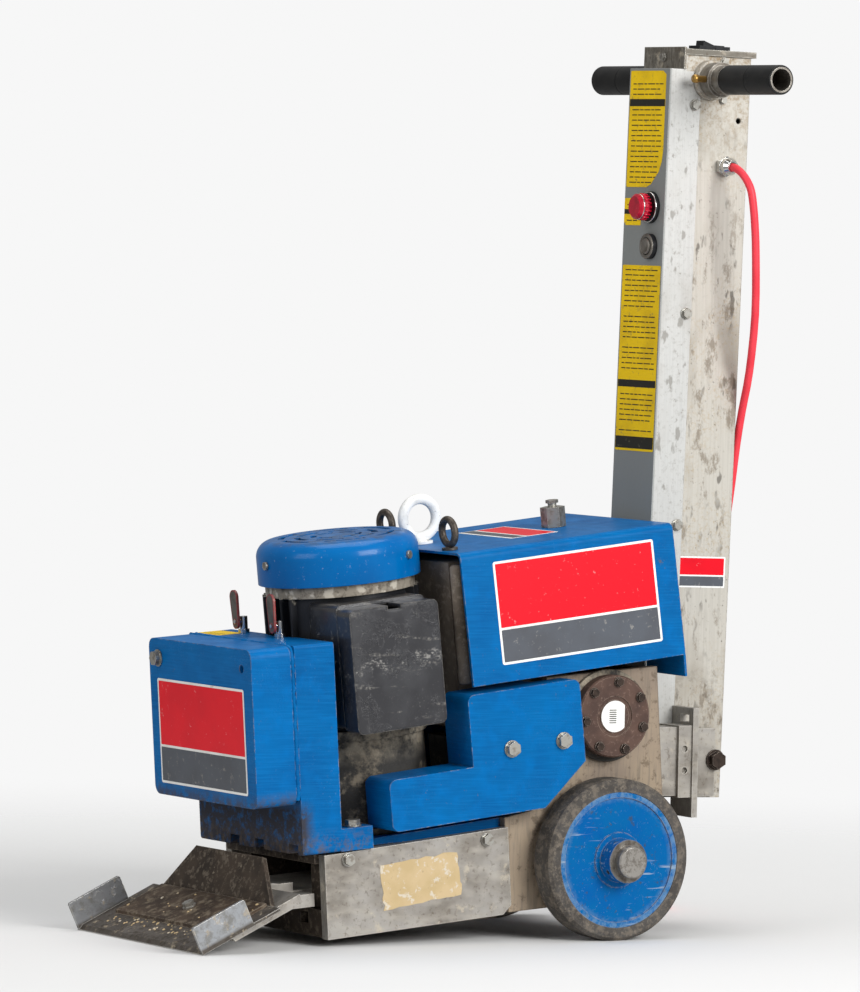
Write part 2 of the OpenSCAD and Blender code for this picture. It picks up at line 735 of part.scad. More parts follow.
module drive_shaft() color(steel) in_drive() {
    translate([0, 0, -wall_x + 1]) cylinder(r = 14, h = wall_x + cap_x - 16);
    translate([0, 0, sprocket_x - 2.5]) sprocket(drive_teeth, pitch_r + 6, 5);
}

// Loop around both sprockets as (y, z), at a distance from the pitch line
module chain_loop(grow) hull() {
    circle(pitch_r * 2 + 12 + grow);
    translate([drive_y, drive_z]) circle(pitch_r + 6 + grow);
}

module drive_chain() color("#4a4640") at_axle() for (x = [sprocket_x - 5.2, sprocket_x + 3.2])
    along_x(x, x + 2) difference() {
        chain_loop(4);
        chain_loop(-4);
    }

// --- wheels ---
module wheelset() color(steel) at_axle() {
    end = tyre_out + axle_stub;
    rim_r = wheel_r - tyre_wall;
    rotate([0, 90, 0]) {
        translate([0, 0, -end + 2]) cylinder(r = axle_r, h = 2 * end - 4);
        translate([0, 0, sprocket_x - 2.5]) sprocket(axle_teeth, pitch_r * 2 + 12, 5);
        for (m = [0, 1]) mirror([0, 0, m]) {
            translate([0, 0, end - 2]) cylinder(r1 = axle_r, r2 = axle_r - 2, h = 2);
            translate([0, 0, wall_x + 0.4]) cylinder(r = axle_r + 9, h = 20);
            translate([0, 0, tyre_out - 1]) difference() {
                cylinder(r = axle_r + 7, h = 22);
                translate([0, 0, 13]) rotate([0, 90, -60]) cylinder(r = 3, h = 60);
            }
            translate([0, 0, tyre_in + 1]) difference() {
                cylinder(r = rim_r, h = tyre_w - 2, $fn = 96);
                for (z = [-1, tyre_w - 4]) translate([0, 0, z]) difference() {
                    cylinder(r = rim_r - 7, h = 3.01);
                    cylinder(r = axle_r + 14, h = 3.01);
                }
            }
        }
    }
}

module tyres() color("#1c1b1a") at_axle() for (m = [0, 1]) mirror([m, 0, 0]) rotate([0, 90, 0])
    rotate_extrude($fn = 96) translate([wheel_r - tyre_wall, tyre_in]) polygon([
        [0, 0], [tyre_wall - 4, 0], [tyre_wall, 4], [tyre_wall, tyre_w - 4], [tyre_wall - 4, tyre_w], [0, tyre_w]
    ]);

// --- column ---
// A point level with the floor as (y, z) in the column's own frame
function column_point(y, z) = [
    y * cos(column_recline) - z * sin(column_recline),
    y * sin(column_recline) + z * cos(column_recline)
];

module column_brackets() color(dirty) at_axle() both_sides() difference() {
    union() {
        // spacer and clamp block
        along_x(55, 90) polygon([
            chassis_point(90 + fit, 64), chassis_point(90 + fit, 150), [130, 156], [130, 70]
        ]);
        span([50, 129, 68], [95, 147.8, 158]);
        // slotted plate and the cheek beside the column
        difference() {
            span([bracket_x, 147.7, 43], [98, 156, 180]);
            span([68, 140, 162], [88, 160, 171]);
        }
        along_x(bracket_x, bracket_x + 6) {
            translate([147.7, 65]) square([column_back - 172, 86]);
            translate([pivot_y, pivot_z]) circle(14);
            translate([column_back - 40, 65]) square([28, 86]);
        }
    }
    translate([0, pivot_y, pivot_z]) rotate([0, 90, 0]) cylinder(r = pivot_r + run, h = 100);
    for (z = [84, 142]) translate([78, 134, z]) rotate([-90, 0, 0]) cylinder(r = 4.3, h = 30);
    for (z = [102, 129]) translate([91, 138, z]) rotate([0, 90, 0]) cylinder(r = 4, h = 10);
}

module pivot_bolt() color(steel) at_axle() translate([0, pivot_y, pivot_z]) rotate([0, 90, 0]) {
    end = bracket_x + 6.2;
    translate([0, 0, -end - 1]) cylinder(r = pivot_r, h = 2 * end + 2);
    for (m = [0, 1]) mirror([0, 0, m]) translate([0, 0, end]) {
        cylinder(r = 13, h = 2.5);
        translate([0, 0, 2]) cylinder(d = 21.9, h = 9, $fn = 6);
    }
}

module column_channel() color("#8d8577") in_column() {
    half = column_w / 2;
    eye = column_point(pivot_y, pivot_z);
    difference() {
        union() {
            difference() {
                span([-half, cover_y + 4, column_low], [half, column_back, column_top]);
                span([-half + column_t, 0, 0], [half - column_t, column_back - column_t, 2000]);
            }
            // bearing flanges of the handlebar
            translate([0, bar_y, bar_z]) rotate([0, 90, 0]) both_ends(half - column_t) cylinder(d = ring_d, h = column_t + 9.5);
            // bushes of the pivot
            translate([0, eye[0], eye[1]]) rotate([0, 90, 0]) both_ends(half - 12) cylinder(r = 10.5, h = 11);
        }
        translate([-half - 50, bar_y, bar_z]) rotate([0, 90, 0]) cylinder(r = bar_d / 2 + run, h = 200);
        translate([-half - 50, eye[0], eye[1]]) rotate([0, 90, 0]) cylinder(r = pivot_r + run, h = 200);
        translate([0, gland_y, gland_z]) rotate([0, 90, 0]) cylinder(r = 7, h = 100);
        translate([0, gland_y + 19, gland_z + 58]) rotate([0, 90, 0]) cylinder(r = 3.7, h = 100);
        // room for the top of the cover and for the flange of the cap
        span([-half - 1, 0, column_top - 21], [half + 1, bar_y - 36.5, column_top + 10]);
    }
}

// Puts its child at z = a and, mirrored, at z = -a
module both_ends(a) for (m = [0, 1]) mirror([0, 0, m]) translate([0, 0, a]) children();

module column_cover() color("#a7a8a6") in_column() difference() {
    low = 160;
    top = column_top - 18;
    sheet = 2;
    span([-cover_x, cover_y, low], [cover_x, cover_y + 46, top]);
    span([-cover_x + sheet, cover_y + sheet, low - 1], [cover_x - sheet, cover_y + 60, top - sheet]);
    span([-cover_x - 1, bar_y - 36, top - sheet - 0.5], [cover_x + 1, bar_y, top + 10]);
    translate([0, bar_y, bar_z]) rotate([0, 90, 0]) translate([0, 0, -100]) cylinder(d = ring_d + 2, h = 200);
    translate([estop_x, 0, estop_z]) rotate([-90, 0, 0]) cylinder(r = 12.3, h = 120);
    translate([estop_x + 2, 0, start_z]) rotate([-90, 0, 0]) cylinder(r = 12.3, h = 120);
    column_screw_places() translate([0, 0, -6]) cylinder(d = 7.4, h = 12);
}

// Puts its child on every screw of the cover, with Z pointing outwards
module column_screw_places() for (m = [0, 1]) mirror([m, 0, 0])
    for (z = [column_top - 62, column_top - 323, column_top - 588])
        translate([cover_x, cover_y + 38, z]) rotate([0, 90, 0]) children();

module column_screws() color(steel) in_column() {
    column_screw_places() translate([0, 0, 0.2]) hex_bolt(7, 2);
    translate([0, bar_y - 40.2, column_top - 3]) rotate([90, 0, 0]) hex_bolt(5, 2.5);
    both_sides() for (z = [-28, 28]) translate([column_w / 2 + fit, bar_y + 20, bar_z + z * 0.86]) rotate([0, 90, 0])
        hex_bolt(5, 0.1);
}

module column_cap() color("#3c3b38") in_column() difference() {
    front = bar_y - 40;
    union() {
        span([-column_w / 2 - 2.7, front, column_top + fit], [column_w / 2 + 2.7, column_back + 6, column_top + 8]);
        span([-column_w / 2 - 2.7, front, column_top - 17.7], [column_w / 2 + 2.7, front + 3, column_top + 10]);
    }
    translate([0, front - 1, column_top - 3]) rotate([-90, 0, 0]) cylinder(r = 2.7, h = 5);
    span([-10, rocker_y - 19, column_top - 20], [10, rocker_y + 19, column_top + 20]);
}

module switch_housings() color("#1d1d1f") in_column() {
    // bezel and barrel of the emergency stop
    translate([estop_x, cover_y, estop_z]) rotate([-90, 0, 0]) difference() {
        union() {
            translate([0, 0, -4.2]) cylinder(r = 20, h = 4);
            translate([0, 0, -1]) cylinder(r = 12, h = 32);
        }
        translate([0, 0, -10]) cylinder(r = 8 + run, h = 60);
    }
    // bezel and barrel of the start button
    translate([estop_x + 2, cover_y, start_z]) rotate([-90, 0, 0]) difference() {
        union() {
            translate([0, 0, -6.2]) cylinder(r = 16, h = 6);
            translate([0, 0, -1]) cylinder(r = 12, h = 28);
        }
        translate([0, 0, -10]) cylinder(r = 10 + run, h = 60);
    }
    // frame of the rocker switch
    difference() {
        span([-13, rocker_y - 22.5, column_top + 8.2], [13, rocker_y + 22.5, column_top + 14]);
        span([-9.4, rocker_y - 18.5, column_top], [9.4, rocker_y + 18.5, column_top + 30]);
        translate([-20, rocker_y, column_top + 11]) rotate([0, 90, 0]) cylinder(r = 1.5 + run, h = 40);
    }
}

module estop_head() color("#b3122b") in_column() translate([estop_x, cover_y - 5 - estop_travel, estop_z])
    rotate([90, 0, 0]) {
        translate([0, 0, -estop_travel - 28]) cylinder(r = 8, h = estop_travel + 29);
        cylinder(r1 = estop_d / 2 - 3, r2 = estop_d / 2, h = 4);
        translate([0, 0, 4]) cylinder(d = estop_d, h = 9);
        translate([0, 0, 13]) cylinder(r1 = estop_d / 2, r2 = estop_d / 2 - 3, h = 3);
    }

module start_button() color("#202022") in_column() translate([estop_x + 2, cover_y - 6.2 - button_travel - 0.3, start_z])
    rotate([-90, 0, 0]) {
        cylinder(r1 = 8.5, r2 = 10, h = 1.5);
        translate([0, 0, 1.5]) cylinder(r = 10, h = 26);
    }

module rocker_switch() color("#19191b") in_column() translate([0, rocker_y, column_top + 11]) rotate([-10, 0, 0]) {
    along_x(-9, 9) polygon([[-15, -1], [-8, -6], [8, -6], [15, -1], [15.5, 7], [0, 4.5], [-15.5, 7]]);
    translate([-12, 0, 0]) rotate([0, 90, 0]) cylinder(r = 1.5, h = 24);
}

module handlebar() color(steel) in_column() translate([0, bar_y, bar_z]) {
    start = column_w / 2 + 9.5 + 0.3;
    bar_r = bar_d / 2;
    rotate([0, 90, 0]) difference() {
        union() {
            translate([0, 0, -bar_w / 2]) cylinder(r = bar_r, h = bar_w);
            both_ends(start - 2.8) cylinder(r = bar_r - 0.01, h = 3);
            both_ends(start) cylinder(r = bar_r + 6, h = 20);
            both_ends(start + 19) cylinder(r = bar_r + 2, h = 17);
        }
        translate([0, 0, -bar_w / 2 - 1]) cylinder(r = bar_r - 2.4, h = bar_w + 2);
    }
    // clamp screw of the scale ring
    translate([start + 14, -bar_r - 4, 0]) rotate([90, 0, 0]) cylinder(r = 3.4, h = 13);
}

module grips() color("#151515") in_column() translate([0, bar_y, bar_z]) rotate([0, 90, 0])
    both_ends(bar_w / 2 - grip_l - 1) difference() {
        rotate_extrude() translate([bar_d / 2, 0]) polygon([
            [0, 0], [grip_d / 2 - bar_d / 2, 0], [grip_d / 2 - bar_d / 2, grip_l / 2 - 0.8],
            [grip_d / 2 - bar_d / 2 - 1, grip_l / 2], [grip_d / 2 - bar_d / 2, grip_l / 2 + 0.8],
            [grip_d / 2 - bar_d / 2, grip_l - 1], [grip_d / 2 - bar_d / 2 - 1, grip_l], [0, grip_l]
        ]);
    }

module cable_gland() color("#222224") in_column() translate([column_w / 2 + fit, gland_y, gland_z])
    rotate([0, 90, 0]) difference() {
        union() {
            translate([0, 0, -8]) cylinder(r = 6.7, h = 9);
            cylinder(r = 13, h = 8, $fn = 6);
            translate([0, 0, 7]) cylinder(r = 11, h = 9);
            translate([0, 0, 16]) cylinder(r1 = 11, r2 = 7.5, h = 6);
        }
        translate([0, 0, -9]) cylinder(r = lead_r + gap, h = 60);
    }

// --- power lead ---
// Points of a smooth curve through a list of points, with n steps between neighbours
function bend(p, n) = [
    for (i = [0:len(p) - 2], k = [0:n - 1]) curve_at(p, i, k / n),
    p[len(p) - 1]
];
function curve_at(p, i, t) =
    let (a = p[max(i - 1, 0)], b = p[i], c = p[i + 1], d = p[min(i + 2, len(p) - 1)])
    b + (c - a) * t / 2 + (2 * a - 5 * b + 4 * c - d) * t * t / 2 + (3 * b - a - 3 * c + d) * t * t * t / 2;

// Directions along a list of points
function headings(p) = [
    for (i = [0:len(p) - 1])
        let (d = p[min(i + 1, len(p) - 1)] - p[max(i - 1, 0)])
        d / norm(d)
];

// A normal at every point, each turned as little as possible from the one before
function carry(h, i, last, list) =
    i == len(h) ? list : let (q = last - h[i] * (last * h[i]), n = q / norm(q)) carry(h, i + 1, n, concat(list, [n]));

module tube(p, r) {
    sides = 10;
    h = headings(p);
    n = carry(h, 0, [0.1, 1, 0.2], []);
    rows = len(p);
    polyhedron(
        points = [
            for (i = [0:rows - 1], k = [0:sides - 1])
                let (a = k * 360 / sides)
                p[i] + r * (cos(a) * n[i] + sin(a) * cross(h[i], n[i]))
        ],
        faces = concat(
            [[for (k = [0:sides - 1]) k]],
            [[for (k = [sides - 1:-1:0]) (rows - 1) * sides + k]],
            [for (i = [0:rows - 2], k = [0:sides - 1])
                let (a = i * sides + k, b = i * sides + (k + 1) % sides)
                [a, a + sides, b]],
            [for (i = [0:rows - 2], k = [0:sides - 1])
                let (a = i * sides + k, b = i * sides + (k + 1) % sides)
                [b, a + sides, b + sides]]
        )
    );
}

module power_lead() color("#e8505c") at_axle() tube(bend(lead_route, 2), lead_r);

module lead_tail() color("#e8505c") at_axle() tube(bend(tail_route, 2), lead_r);

module lead_coil() color("#d84350") at_axle() translate([coil_x, coil_y, -wheel_r]) rotate_extrude()
    translate([coil_mid - coil_band / 2, 0]) round_rect(coil_band, coil_h, 5);

module lead_plug() color("#26262a") at_axle() translate([-223, 194.4, coil_h - wheel_r + 17.9]) rotate(195)
    rotate([0, 90, 0]) {
        translate([0, 0, -30]) cylinder(r = 12, h = 14);
        translate([0, 0, -17]) cylinder(r = 17.5, h = 34);
        for (a = [60, 180, 300]) rotate(a) translate([9, 0, 16]) cylinder(r = 2.5, h = 18);
    }

side_plate_left();
side_plate_right();
top_plate();
cross_plates();
rear_wall_left();
rear_wall_right();
deck();
hex_bolts();
weight_bracket();
front_weight();
valve_bodies();
valve_lever_left();
valve_lever_right();
blade();
blade_clamp_plate();
blade_clamp_bolt();
blade_seat();
deflector();
blade_carrier();
motor_bell();
motor_frame();
stator();
rotor();
fan_cowl();
cowl_screws();
terminal_box();
terminal_lid();
motor_lead();
hydraulic_pump();
guard_left();
guard_right();
hood();
eyebolts();
lifting_eye();
oil_tank();
filler_breather();
drive_motor();
drive_motor_cap();
cap_bolts();
drive_shaft();
drive_chain();
wheelset();
tyres();
column_brackets();
pivot_bolt();
column_channel();
column_cover();
column_cap();
column_screws();
switch_housings();
estop_head();
start_button();
rocker_switch();
handlebar();
grips();
cable_gland();
power_lead();
lead_tail();
lead_coil();
lead_plug();
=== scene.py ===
"""Looks of a walk-behind floor stripper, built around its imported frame."""

import json
import logging
import math
import random
from dataclasses import dataclass
from enum import Enum
from functools import partial

import bmesh
import bpy
from mathutils import Matrix, Vector


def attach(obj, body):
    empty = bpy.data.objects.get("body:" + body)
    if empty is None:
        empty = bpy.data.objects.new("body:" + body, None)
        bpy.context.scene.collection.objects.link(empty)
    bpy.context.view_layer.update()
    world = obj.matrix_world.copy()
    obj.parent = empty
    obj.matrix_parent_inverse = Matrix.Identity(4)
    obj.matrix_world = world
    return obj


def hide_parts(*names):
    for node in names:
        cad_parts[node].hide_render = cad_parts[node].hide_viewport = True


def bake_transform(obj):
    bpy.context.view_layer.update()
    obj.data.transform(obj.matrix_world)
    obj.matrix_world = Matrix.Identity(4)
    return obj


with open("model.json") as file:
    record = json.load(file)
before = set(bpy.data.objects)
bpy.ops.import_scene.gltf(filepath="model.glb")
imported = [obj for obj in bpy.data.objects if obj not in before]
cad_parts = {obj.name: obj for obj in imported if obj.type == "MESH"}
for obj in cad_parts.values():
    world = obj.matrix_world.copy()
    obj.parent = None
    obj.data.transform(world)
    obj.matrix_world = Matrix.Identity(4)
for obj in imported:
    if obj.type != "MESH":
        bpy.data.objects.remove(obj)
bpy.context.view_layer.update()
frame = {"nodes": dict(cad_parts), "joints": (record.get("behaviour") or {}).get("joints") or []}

log = logging.getLogger("stripper")

MM = 0.001
JOINTS = {joint["name"]: joint for joint in frame["joints"]}
AXLE = Vector(JOINTS["wheel_spin"]["pos_m"])
MACHINE_MIDDLE = Vector((0.0, 0.0, 0.45))
BLADE_REACH = 577.0
AXLE_HEIGHT = 100.0
BLADE_ATTACK = math.radians(25.5)


# ---------------------------------------------------------------- frames


def tilted(angle: float) -> Matrix:
    """Frame at the axle, turned about X.

    Args:
        angle: turn in radians, positive where the +Y side rises.

    Returns:
        The frame as a matrix from millimetres to metres.
    """
    return Matrix.Translation(AXLE) @ Matrix.Rotation(angle, 4, "X") @ Matrix.Scale(MM, 4)


def angle_of(joint: str, side: int, rise: int) -> float:
    """Tilt that a joint's axis gives away, from two of its components.

    Args:
        joint: name of the joint.
        side: index of the component that is the cosine.
        rise: index of the component that is the sine.

    Returns:
        The tilt in radians.
    """
    axis = JOINTS[joint]["axis"]
    return math.atan2(axis[rise], axis[side])


LEVEL = tilted(0.0)
CHASSIS = tilted(angle_of("blade_stroke", 1, 2))
DECK = tilted(-angle_of("rotor_spin", 2, 1))
COLUMN = tilted(angle_of("start_push", 1, 2))
BLADE_FRAME = (LEVEL @ Matrix.Translation((0, -BLADE_REACH, -AXLE_HEIGHT))
               @ Matrix.Rotation(BLADE_ATTACK, 4, "X"))


def face(base: Matrix, origin: tuple[float, float, float], right: tuple[float, float, float],
         up: tuple[float, float, float]) -> Matrix:
    """Frame of a flat face, with Z out of the face.

    Args:
        base: frame that the other values are given in.
        origin: middle of the face, in millimetres.
        right: direction to the right along the face.
        up: direction up the face.

    Returns:
        The matrix from the face's own millimetres to the world.
    """
    x = Vector(right).normalized()
    y = Vector(up).normalized()
    z = x.cross(y)
    turn = Matrix((x, y, z)).transposed().to_4x4()
    return base @ Matrix.Translation(Vector(origin)) @ turn


# ---------------------------------------------------------------- finishes


def linear(colour: str) -> tuple[float, float, float, float]:
    """Linear colour of an sRGB hex value.

    Args:
        colour: six hex digits after a hash sign.

    Returns:
        Red, green, blue and alpha for a shader socket.
    """
    parts = [int(colour[i:i + 2], 16) / 255 for i in (1, 3, 5)]
    red, green, blue = [c / 12.92 if c <= 0.04045 else ((c + 0.055) / 1.055) ** 2.4 for c in parts]
    return (red, green, blue, 1.0)


class Pattern(Enum):
    """What a mask follows."""

    CLOUD = "smooth patches"
    GRIT = "fine broken spots"
    EDGE = "outer and inner edges"
    ALONG = "distance along a direction"
    AROUND = "distance from the axle's line"
    UPWARD = "faces that look up"


@dataclass(frozen=True, eq=False)
class Mask:
    """Where a layer of a finish shows.

    low and high are the values of the pattern where the layer starts to show and where it is full.
    For ALONG and AROUND they are millimetres; for EDGE they are shares of a full corner.
    """

    pattern: Pattern
    low: float
    high: float
    size: float = 10.0
    stretch: tuple[float, float, float] = (1.0, 1.0, 1.0)
    seed: float = 0.0
    axis: Matrix | None = None


@dataclass(frozen=True)
class Layer:
    """One layer over a finish: dirt, wear, a stain or a raised grain."""

    masks: tuple[Mask, ...]
    colour: str | None = None
    strength: float = 1.0
    roughness: float | None = None
    metallic: float | None = None
    height: float = 0.0


@dataclass(frozen=True)
class Finish:
    """A surface finish: its plain shader values and the layers over them."""

    name: str
    colour: str
    roughness: float
    metallic: float = 0.0
    ior: float = 1.5
    coat: float = 0.0
    specular: float = 0.2
    rounding: float = 0.8
    layers: tuple[Layer, ...] = ()

    def material(self) -> bpy.types.Material:
        """The finish as a material, made once.

        Returns:
            The material of this name.
        """
        made = bpy.data.materials.get(self.name)
        return made or Painter(self).material


def join(tree: bpy.types.NodeTree, node: bpy.types.Node, inputs: dict[object, object]) -> None:
    """Sets or links inputs of a node.

    Args:
        tree: the node's tree.
        node: the node.
        inputs: a value or an output socket for each input.
    """
    for key, value in inputs.items():
        if isinstance(value, bpy.types.NodeSocket):
            tree.links.new(value, node.inputs[key])
        else:
            node.inputs[key].default_value = value


def add_node(tree: bpy.types.NodeTree, kind: str, inputs: dict[object, object] | None = None,
             **settings: object) -> bpy.types.Node:
    """Adds a node with its settings and links.

    Args:
        tree: the tree to add to.
        kind: the node's type name.
        inputs: a value or an output socket for each input.
        settings: the node's own properties.

    Returns:
        The node.
    """
    node = tree.nodes.new(kind)
    for key, value in settings.items():
        setattr(node, key, value)
    join(tree, node, inputs or {})
    return node


class Painter:
    """Builds the node tree of one finish."""

    def __init__(self, finish: Finish) -> None:
        """Makes the material.

        Args:
            finish: what to build.
        """
        self.material = bpy.data.materials.new(finish.name)
        self.material.use_nodes = True
        self.tree = self.material.node_tree
        self.tree.nodes.clear()
        self.add = partial(add_node, self.tree)
        self.join = partial(join, self.tree)
        self.place = self.add("ShaderNodeTexCoord").outputs["Object"]
        shader = self.add("ShaderNodeBsdfPrincipled", {"IOR": finish.ior, "Coat Weight": finish.coat,
                                                       "Coat Roughness": 0.15,
                                                       "Specular IOR Level": finish.specular})
        colour: object = linear(finish.colour)
        roughness: object = finish.roughness
        metallic: object = finish.metallic
        height: object = None
        for layer in finish.layers:
            mask = self.mask(layer)
            if layer.colour is not None:
                mixed = self.add("ShaderNodeMix", {0: mask, 6: colour, 7: linear(layer.colour)}, data_type="RGBA")
                colour = mixed.outputs[2]
            if layer.roughness is not None:
                roughness = self.add("ShaderNodeMix", {0: mask, 2: roughness, 3: layer.roughness}).outputs[0]
            if layer.metallic is not None:
                metallic = self.add("ShaderNodeMix", {0: mask, 2: metallic, 3: layer.metallic}).outputs[0]
            if layer.height:
                last = 0.0 if height is None else height
                height = self.add("ShaderNodeMath", {0: mask, 1: layer.height, 2: last},
                                  operation="MULTIPLY_ADD").outputs[0]
        self.shader = shader
        self.join(shader, {"Base Color": colour, "Roughness": roughness, "Metallic": metallic})
        normal = None
        if finish.rounding:
            normal = self.add("ShaderNodeBevel", {"Radius": finish.rounding * MM}, samples=4).outputs[0]
        if height is not None:
            bump = self.add("ShaderNodeBump", {"Height": height, "Distance": MM, "Strength": 1.0})
            if normal is not None:
                self.join(bump, {"Normal": normal})
            normal = bump.outputs[0]
        if normal is not None:
            self.join(shader, {"Normal": normal})
        self.output = self.add("ShaderNodeOutputMaterial", {"Surface": shader.outputs[0]})

    def mask(self, layer: Layer) -> bpy.types.NodeSocket:
        """Product of a layer's masks and its strength.

        Args:
            layer: the layer.

        Returns:
            A socket from 0 to 1.
        """
        total: object = layer.strength
        for mask in layer.masks:
            low, high = mask.low, mask.high
            if mask.pattern in (Pattern.ALONG, Pattern.AROUND):
                low, high = low * MM, high * MM
            shaped = self.add("ShaderNodeMapRange", {0: self.pattern(mask), 1: low, 2: high, 3: 0.0, 4: 1.0})
            total = self.add("ShaderNodeMath", {0: shaped.outputs[0], 1: total}, operation="MULTIPLY").outputs[0]
        return total

    def pattern(self, mask: Mask) -> bpy.types.NodeSocket:
        """Raw value of a mask's pattern.

        Args:
            mask: the mask.

        Returns:
            A socket that holds the value.
        """
        if mask.pattern in (Pattern.CLOUD, Pattern.GRIT):
            scale = [1 / (mask.size * MM * s) for s in mask.stretch]
            spot = self.add("ShaderNodeMapping", {0: self.place, 1: (mask.seed,) * 3, 3: scale}).outputs[0]
            detail, rough = (3.0, 0.5) if mask.pattern is Pattern.CLOUD else (6.0, 0.72)
            return self.add("ShaderNodeTexNoise", {"Vector": spot, "Scale": 1.0, "Detail": detail,
                                                   "Roughness": rough}).outputs[0]
        if mask.pattern is Pattern.EDGE:
            soft = self.add("ShaderNodeBevel", {"Radius": mask.size * MM}, samples=4).outputs[0]
            flat = self.add("ShaderNodeNewGeometry").outputs["Normal"]
            turn = self.add("ShaderNodeVectorMath", {0: soft, 1: flat}, operation="DOT_PRODUCT").outputs["Value"]
            return self.add("ShaderNodeMath", {0: 1.0, 1: turn}, operation="SUBTRACT").outputs[0]
        if mask.pattern is Pattern.UPWARD:
            flat = self.add("ShaderNodeNewGeometry").outputs["Normal"]
            return self.add("ShaderNodeSeparateXYZ", {0: flat}).outputs[2]
        origin = AXLE if mask.axis is None else mask.axis.translation
        offset = self.add("ShaderNodeVectorMath", {0: self.place, 1: origin}, operation="SUBTRACT").outputs[0]
        if mask.pattern is Pattern.AROUND:
            flat = self.add("ShaderNodeVectorMath", {0: offset, 1: (0.0, 1.0, 1.0)}, operation="MULTIPLY").outputs[0]
            return self.add("ShaderNodeVectorMath", {0: flat}, operation="LENGTH").outputs["Value"]
        line = mask.stretch if mask.axis is None else (mask.axis.to_3x3() @ Vector(mask.stretch)).normalized()
        return self.add("ShaderNodeVectorMath", {0: offset, 1: line}, operation="DOT_PRODUCT").outputs["Value"]


def cloud(size: float, low: float, high: float, seed: float = 0.0,
          stretch: tuple[float, float, float] = (1.0, 1.0, 1.0)) -> Mask:
    """Smooth patches of about a size in millimetres."""
    return Mask(Pattern.CLOUD, low, high, size, stretch, seed)


def grit(size: float, low: float, high: float, seed: float = 0.0,
         stretch: tuple[float, float, float] = (1.0, 1.0, 1.0)) -> Mask:
    """Broken spots of about a size in millimetres."""
    return Mask(Pattern.GRIT, low, high, size, stretch, seed)


def edge(size: float, low: float = 0.02, high: float = 0.2) -> Mask:
    """A band along every edge, size in millimetres."""
    return Mask(Pattern.EDGE, low, high, size)


def along(base: Matrix, direction: tuple[float, float, float], low: float, high: float) -> Mask:
    """A ramp along a direction of a frame, between two distances in millimetres from the axle."""
    return Mask(Pattern.ALONG, low, high, 1.0, direction, 0.0, base)


UP = (0.0, 0.0, 1.0)
SIDE = (1.0, 0.0, 0.0)
BACK = (0.0, 1.0, 0.0)
LENGTHWAYS = (30.0, 30.0, 1.0)
UPRIGHT = (1.0, 1.0, 40.0)

# Brushed-on enamel: a gloss skin with the brush's marks, dulled by handling, bare at the edges
ENAMEL_LAYERS = (
    Layer((cloud(60, 0.35, 0.7),), "#004A86", 0.5, roughness=0.42),
    Layer((cloud(1.6, 0.42, 0.7, 3, LENGTHWAYS),), "#1278BE", 0.3, height=0.05),
    Layer((cloud(22, 0.5, 0.75, 5),), "#006CB4", 0.5, roughness=0.28),
    Layer((grit(3.0, 0.6, 0.72, 7), cloud(50, 0.45, 0.65, 8)), "#7FA3C4", 0.3),
    Layer((grit(7.0, 0.5, 0.54, 17), cloud(60, 0.46, 0.6, 18)), None, height=0.09),
    Layer((grit(16, 0.66, 0.7, 9),), "#5C5A55", 0.7, roughness=0.6, height=-0.12),
    Layer((edge(2.2, 0.03, 0.2), grit(9, 0.47, 0.6, 2)), "#A89C8B", 0.85, roughness=0.5),
    Layer((edge(3.5, 0.03, 0.3), grit(30, 0.5, 0.62, 4)), "#4B3F36", 0.7, roughness=0.7),
)
BLUE = Finish("brushed_enamel_blue", "#005F9C", 0.34, specular=0.06, layers=ENAMEL_LAYERS)
# The same enamel on the weight, under a crust of dirt along its lower edge
BLUE_WEIGHT = Finish("brushed_enamel_blue_weight", "#0062A2", 0.34, specular=0.06, layers=ENAMEL_LAYERS + (
    Layer((along(CHASSIS, UP, 126, 104), grit(12, 0.38, 0.56, 3)), "#51473C", 0.9, roughness=0.8, height=0.3),
))
# The same enamel on the bracket, buried in glue dust low at the front
BLUE_BRACKET = Finish("brushed_enamel_blue_bracket", "#005D9A", 0.36, specular=0.06, layers=ENAMEL_LAYERS + (
    Layer((along(CHASSIS, BACK, -402, -418), along(CHASSIS, UP, 112, 96), grit(14, 0.3, 0.5, 6)),
          "#3D3732", 0.92, roughness=0.85, height=0.4),
    Layer((along(CHASSIS, UP, 76, 46), grit(9, 0.45, 0.6, 6)), "#5F5346", 0.8, roughness=0.85),
))
# Sprayed enamel: a harder and smoother coat on the fan cowl, dull with dust on its top
BLUE_GLOSS = Finish("sprayed_enamel_blue", "#0064A8", 0.3, coat=0.25, specular=0.06, rounding=1.5, layers=(
    Layer((cloud(45, 0.4, 0.7),), "#004E90", 0.5),
    Layer((grit(5, 0.62, 0.7, 2),), "#B9C6CF", 0.3, roughness=0.5),
    Layer((along(DECK, UP, 424, 428), grit(18, 0.42, 0.62, 5)), "#4A4F52", 0.6, roughness=0.7),
    Layer((edge(2.0, 0.03, 0.2), grit(10, 0.5, 0.62, 1)), "#9A9184", 0.8),
    Layer((grit(14, 0.68, 0.71, 8),), "#3A3632", 0.8, height=-0.1),
))
# Hot-rolled plate left bare: mill scale, smears of adhesive dust, bright rubbed edges
PLATE = Finish("bare_rolled_plate", "#A09C96", 0.5, metallic=0.4, layers=(
    Layer((cloud(55, 0.4, 0.66, 1),), "#6E675D", 0.7, roughness=0.6),
    Layer((cloud(2.4, 0.45, 0.7, 2, (1.0, 14.0, 5.0)),), "#B3ADA2", 0.45, height=0.03),
    Layer((grit(7, 0.55, 0.66, 3),), "#57493B", 0.5, roughness=0.75),
    Layer((grit(26, 0.6, 0.68, 5),), "#BDB3A1", 0.65, roughness=0.9, metallic=0.0, height=0.1),
    Layer((edge(2.5, 0.03, 0.2), grit(6, 0.35, 0.5)), "#CFCBC2", 0.8, roughness=0.35, metallic=0.9),
))
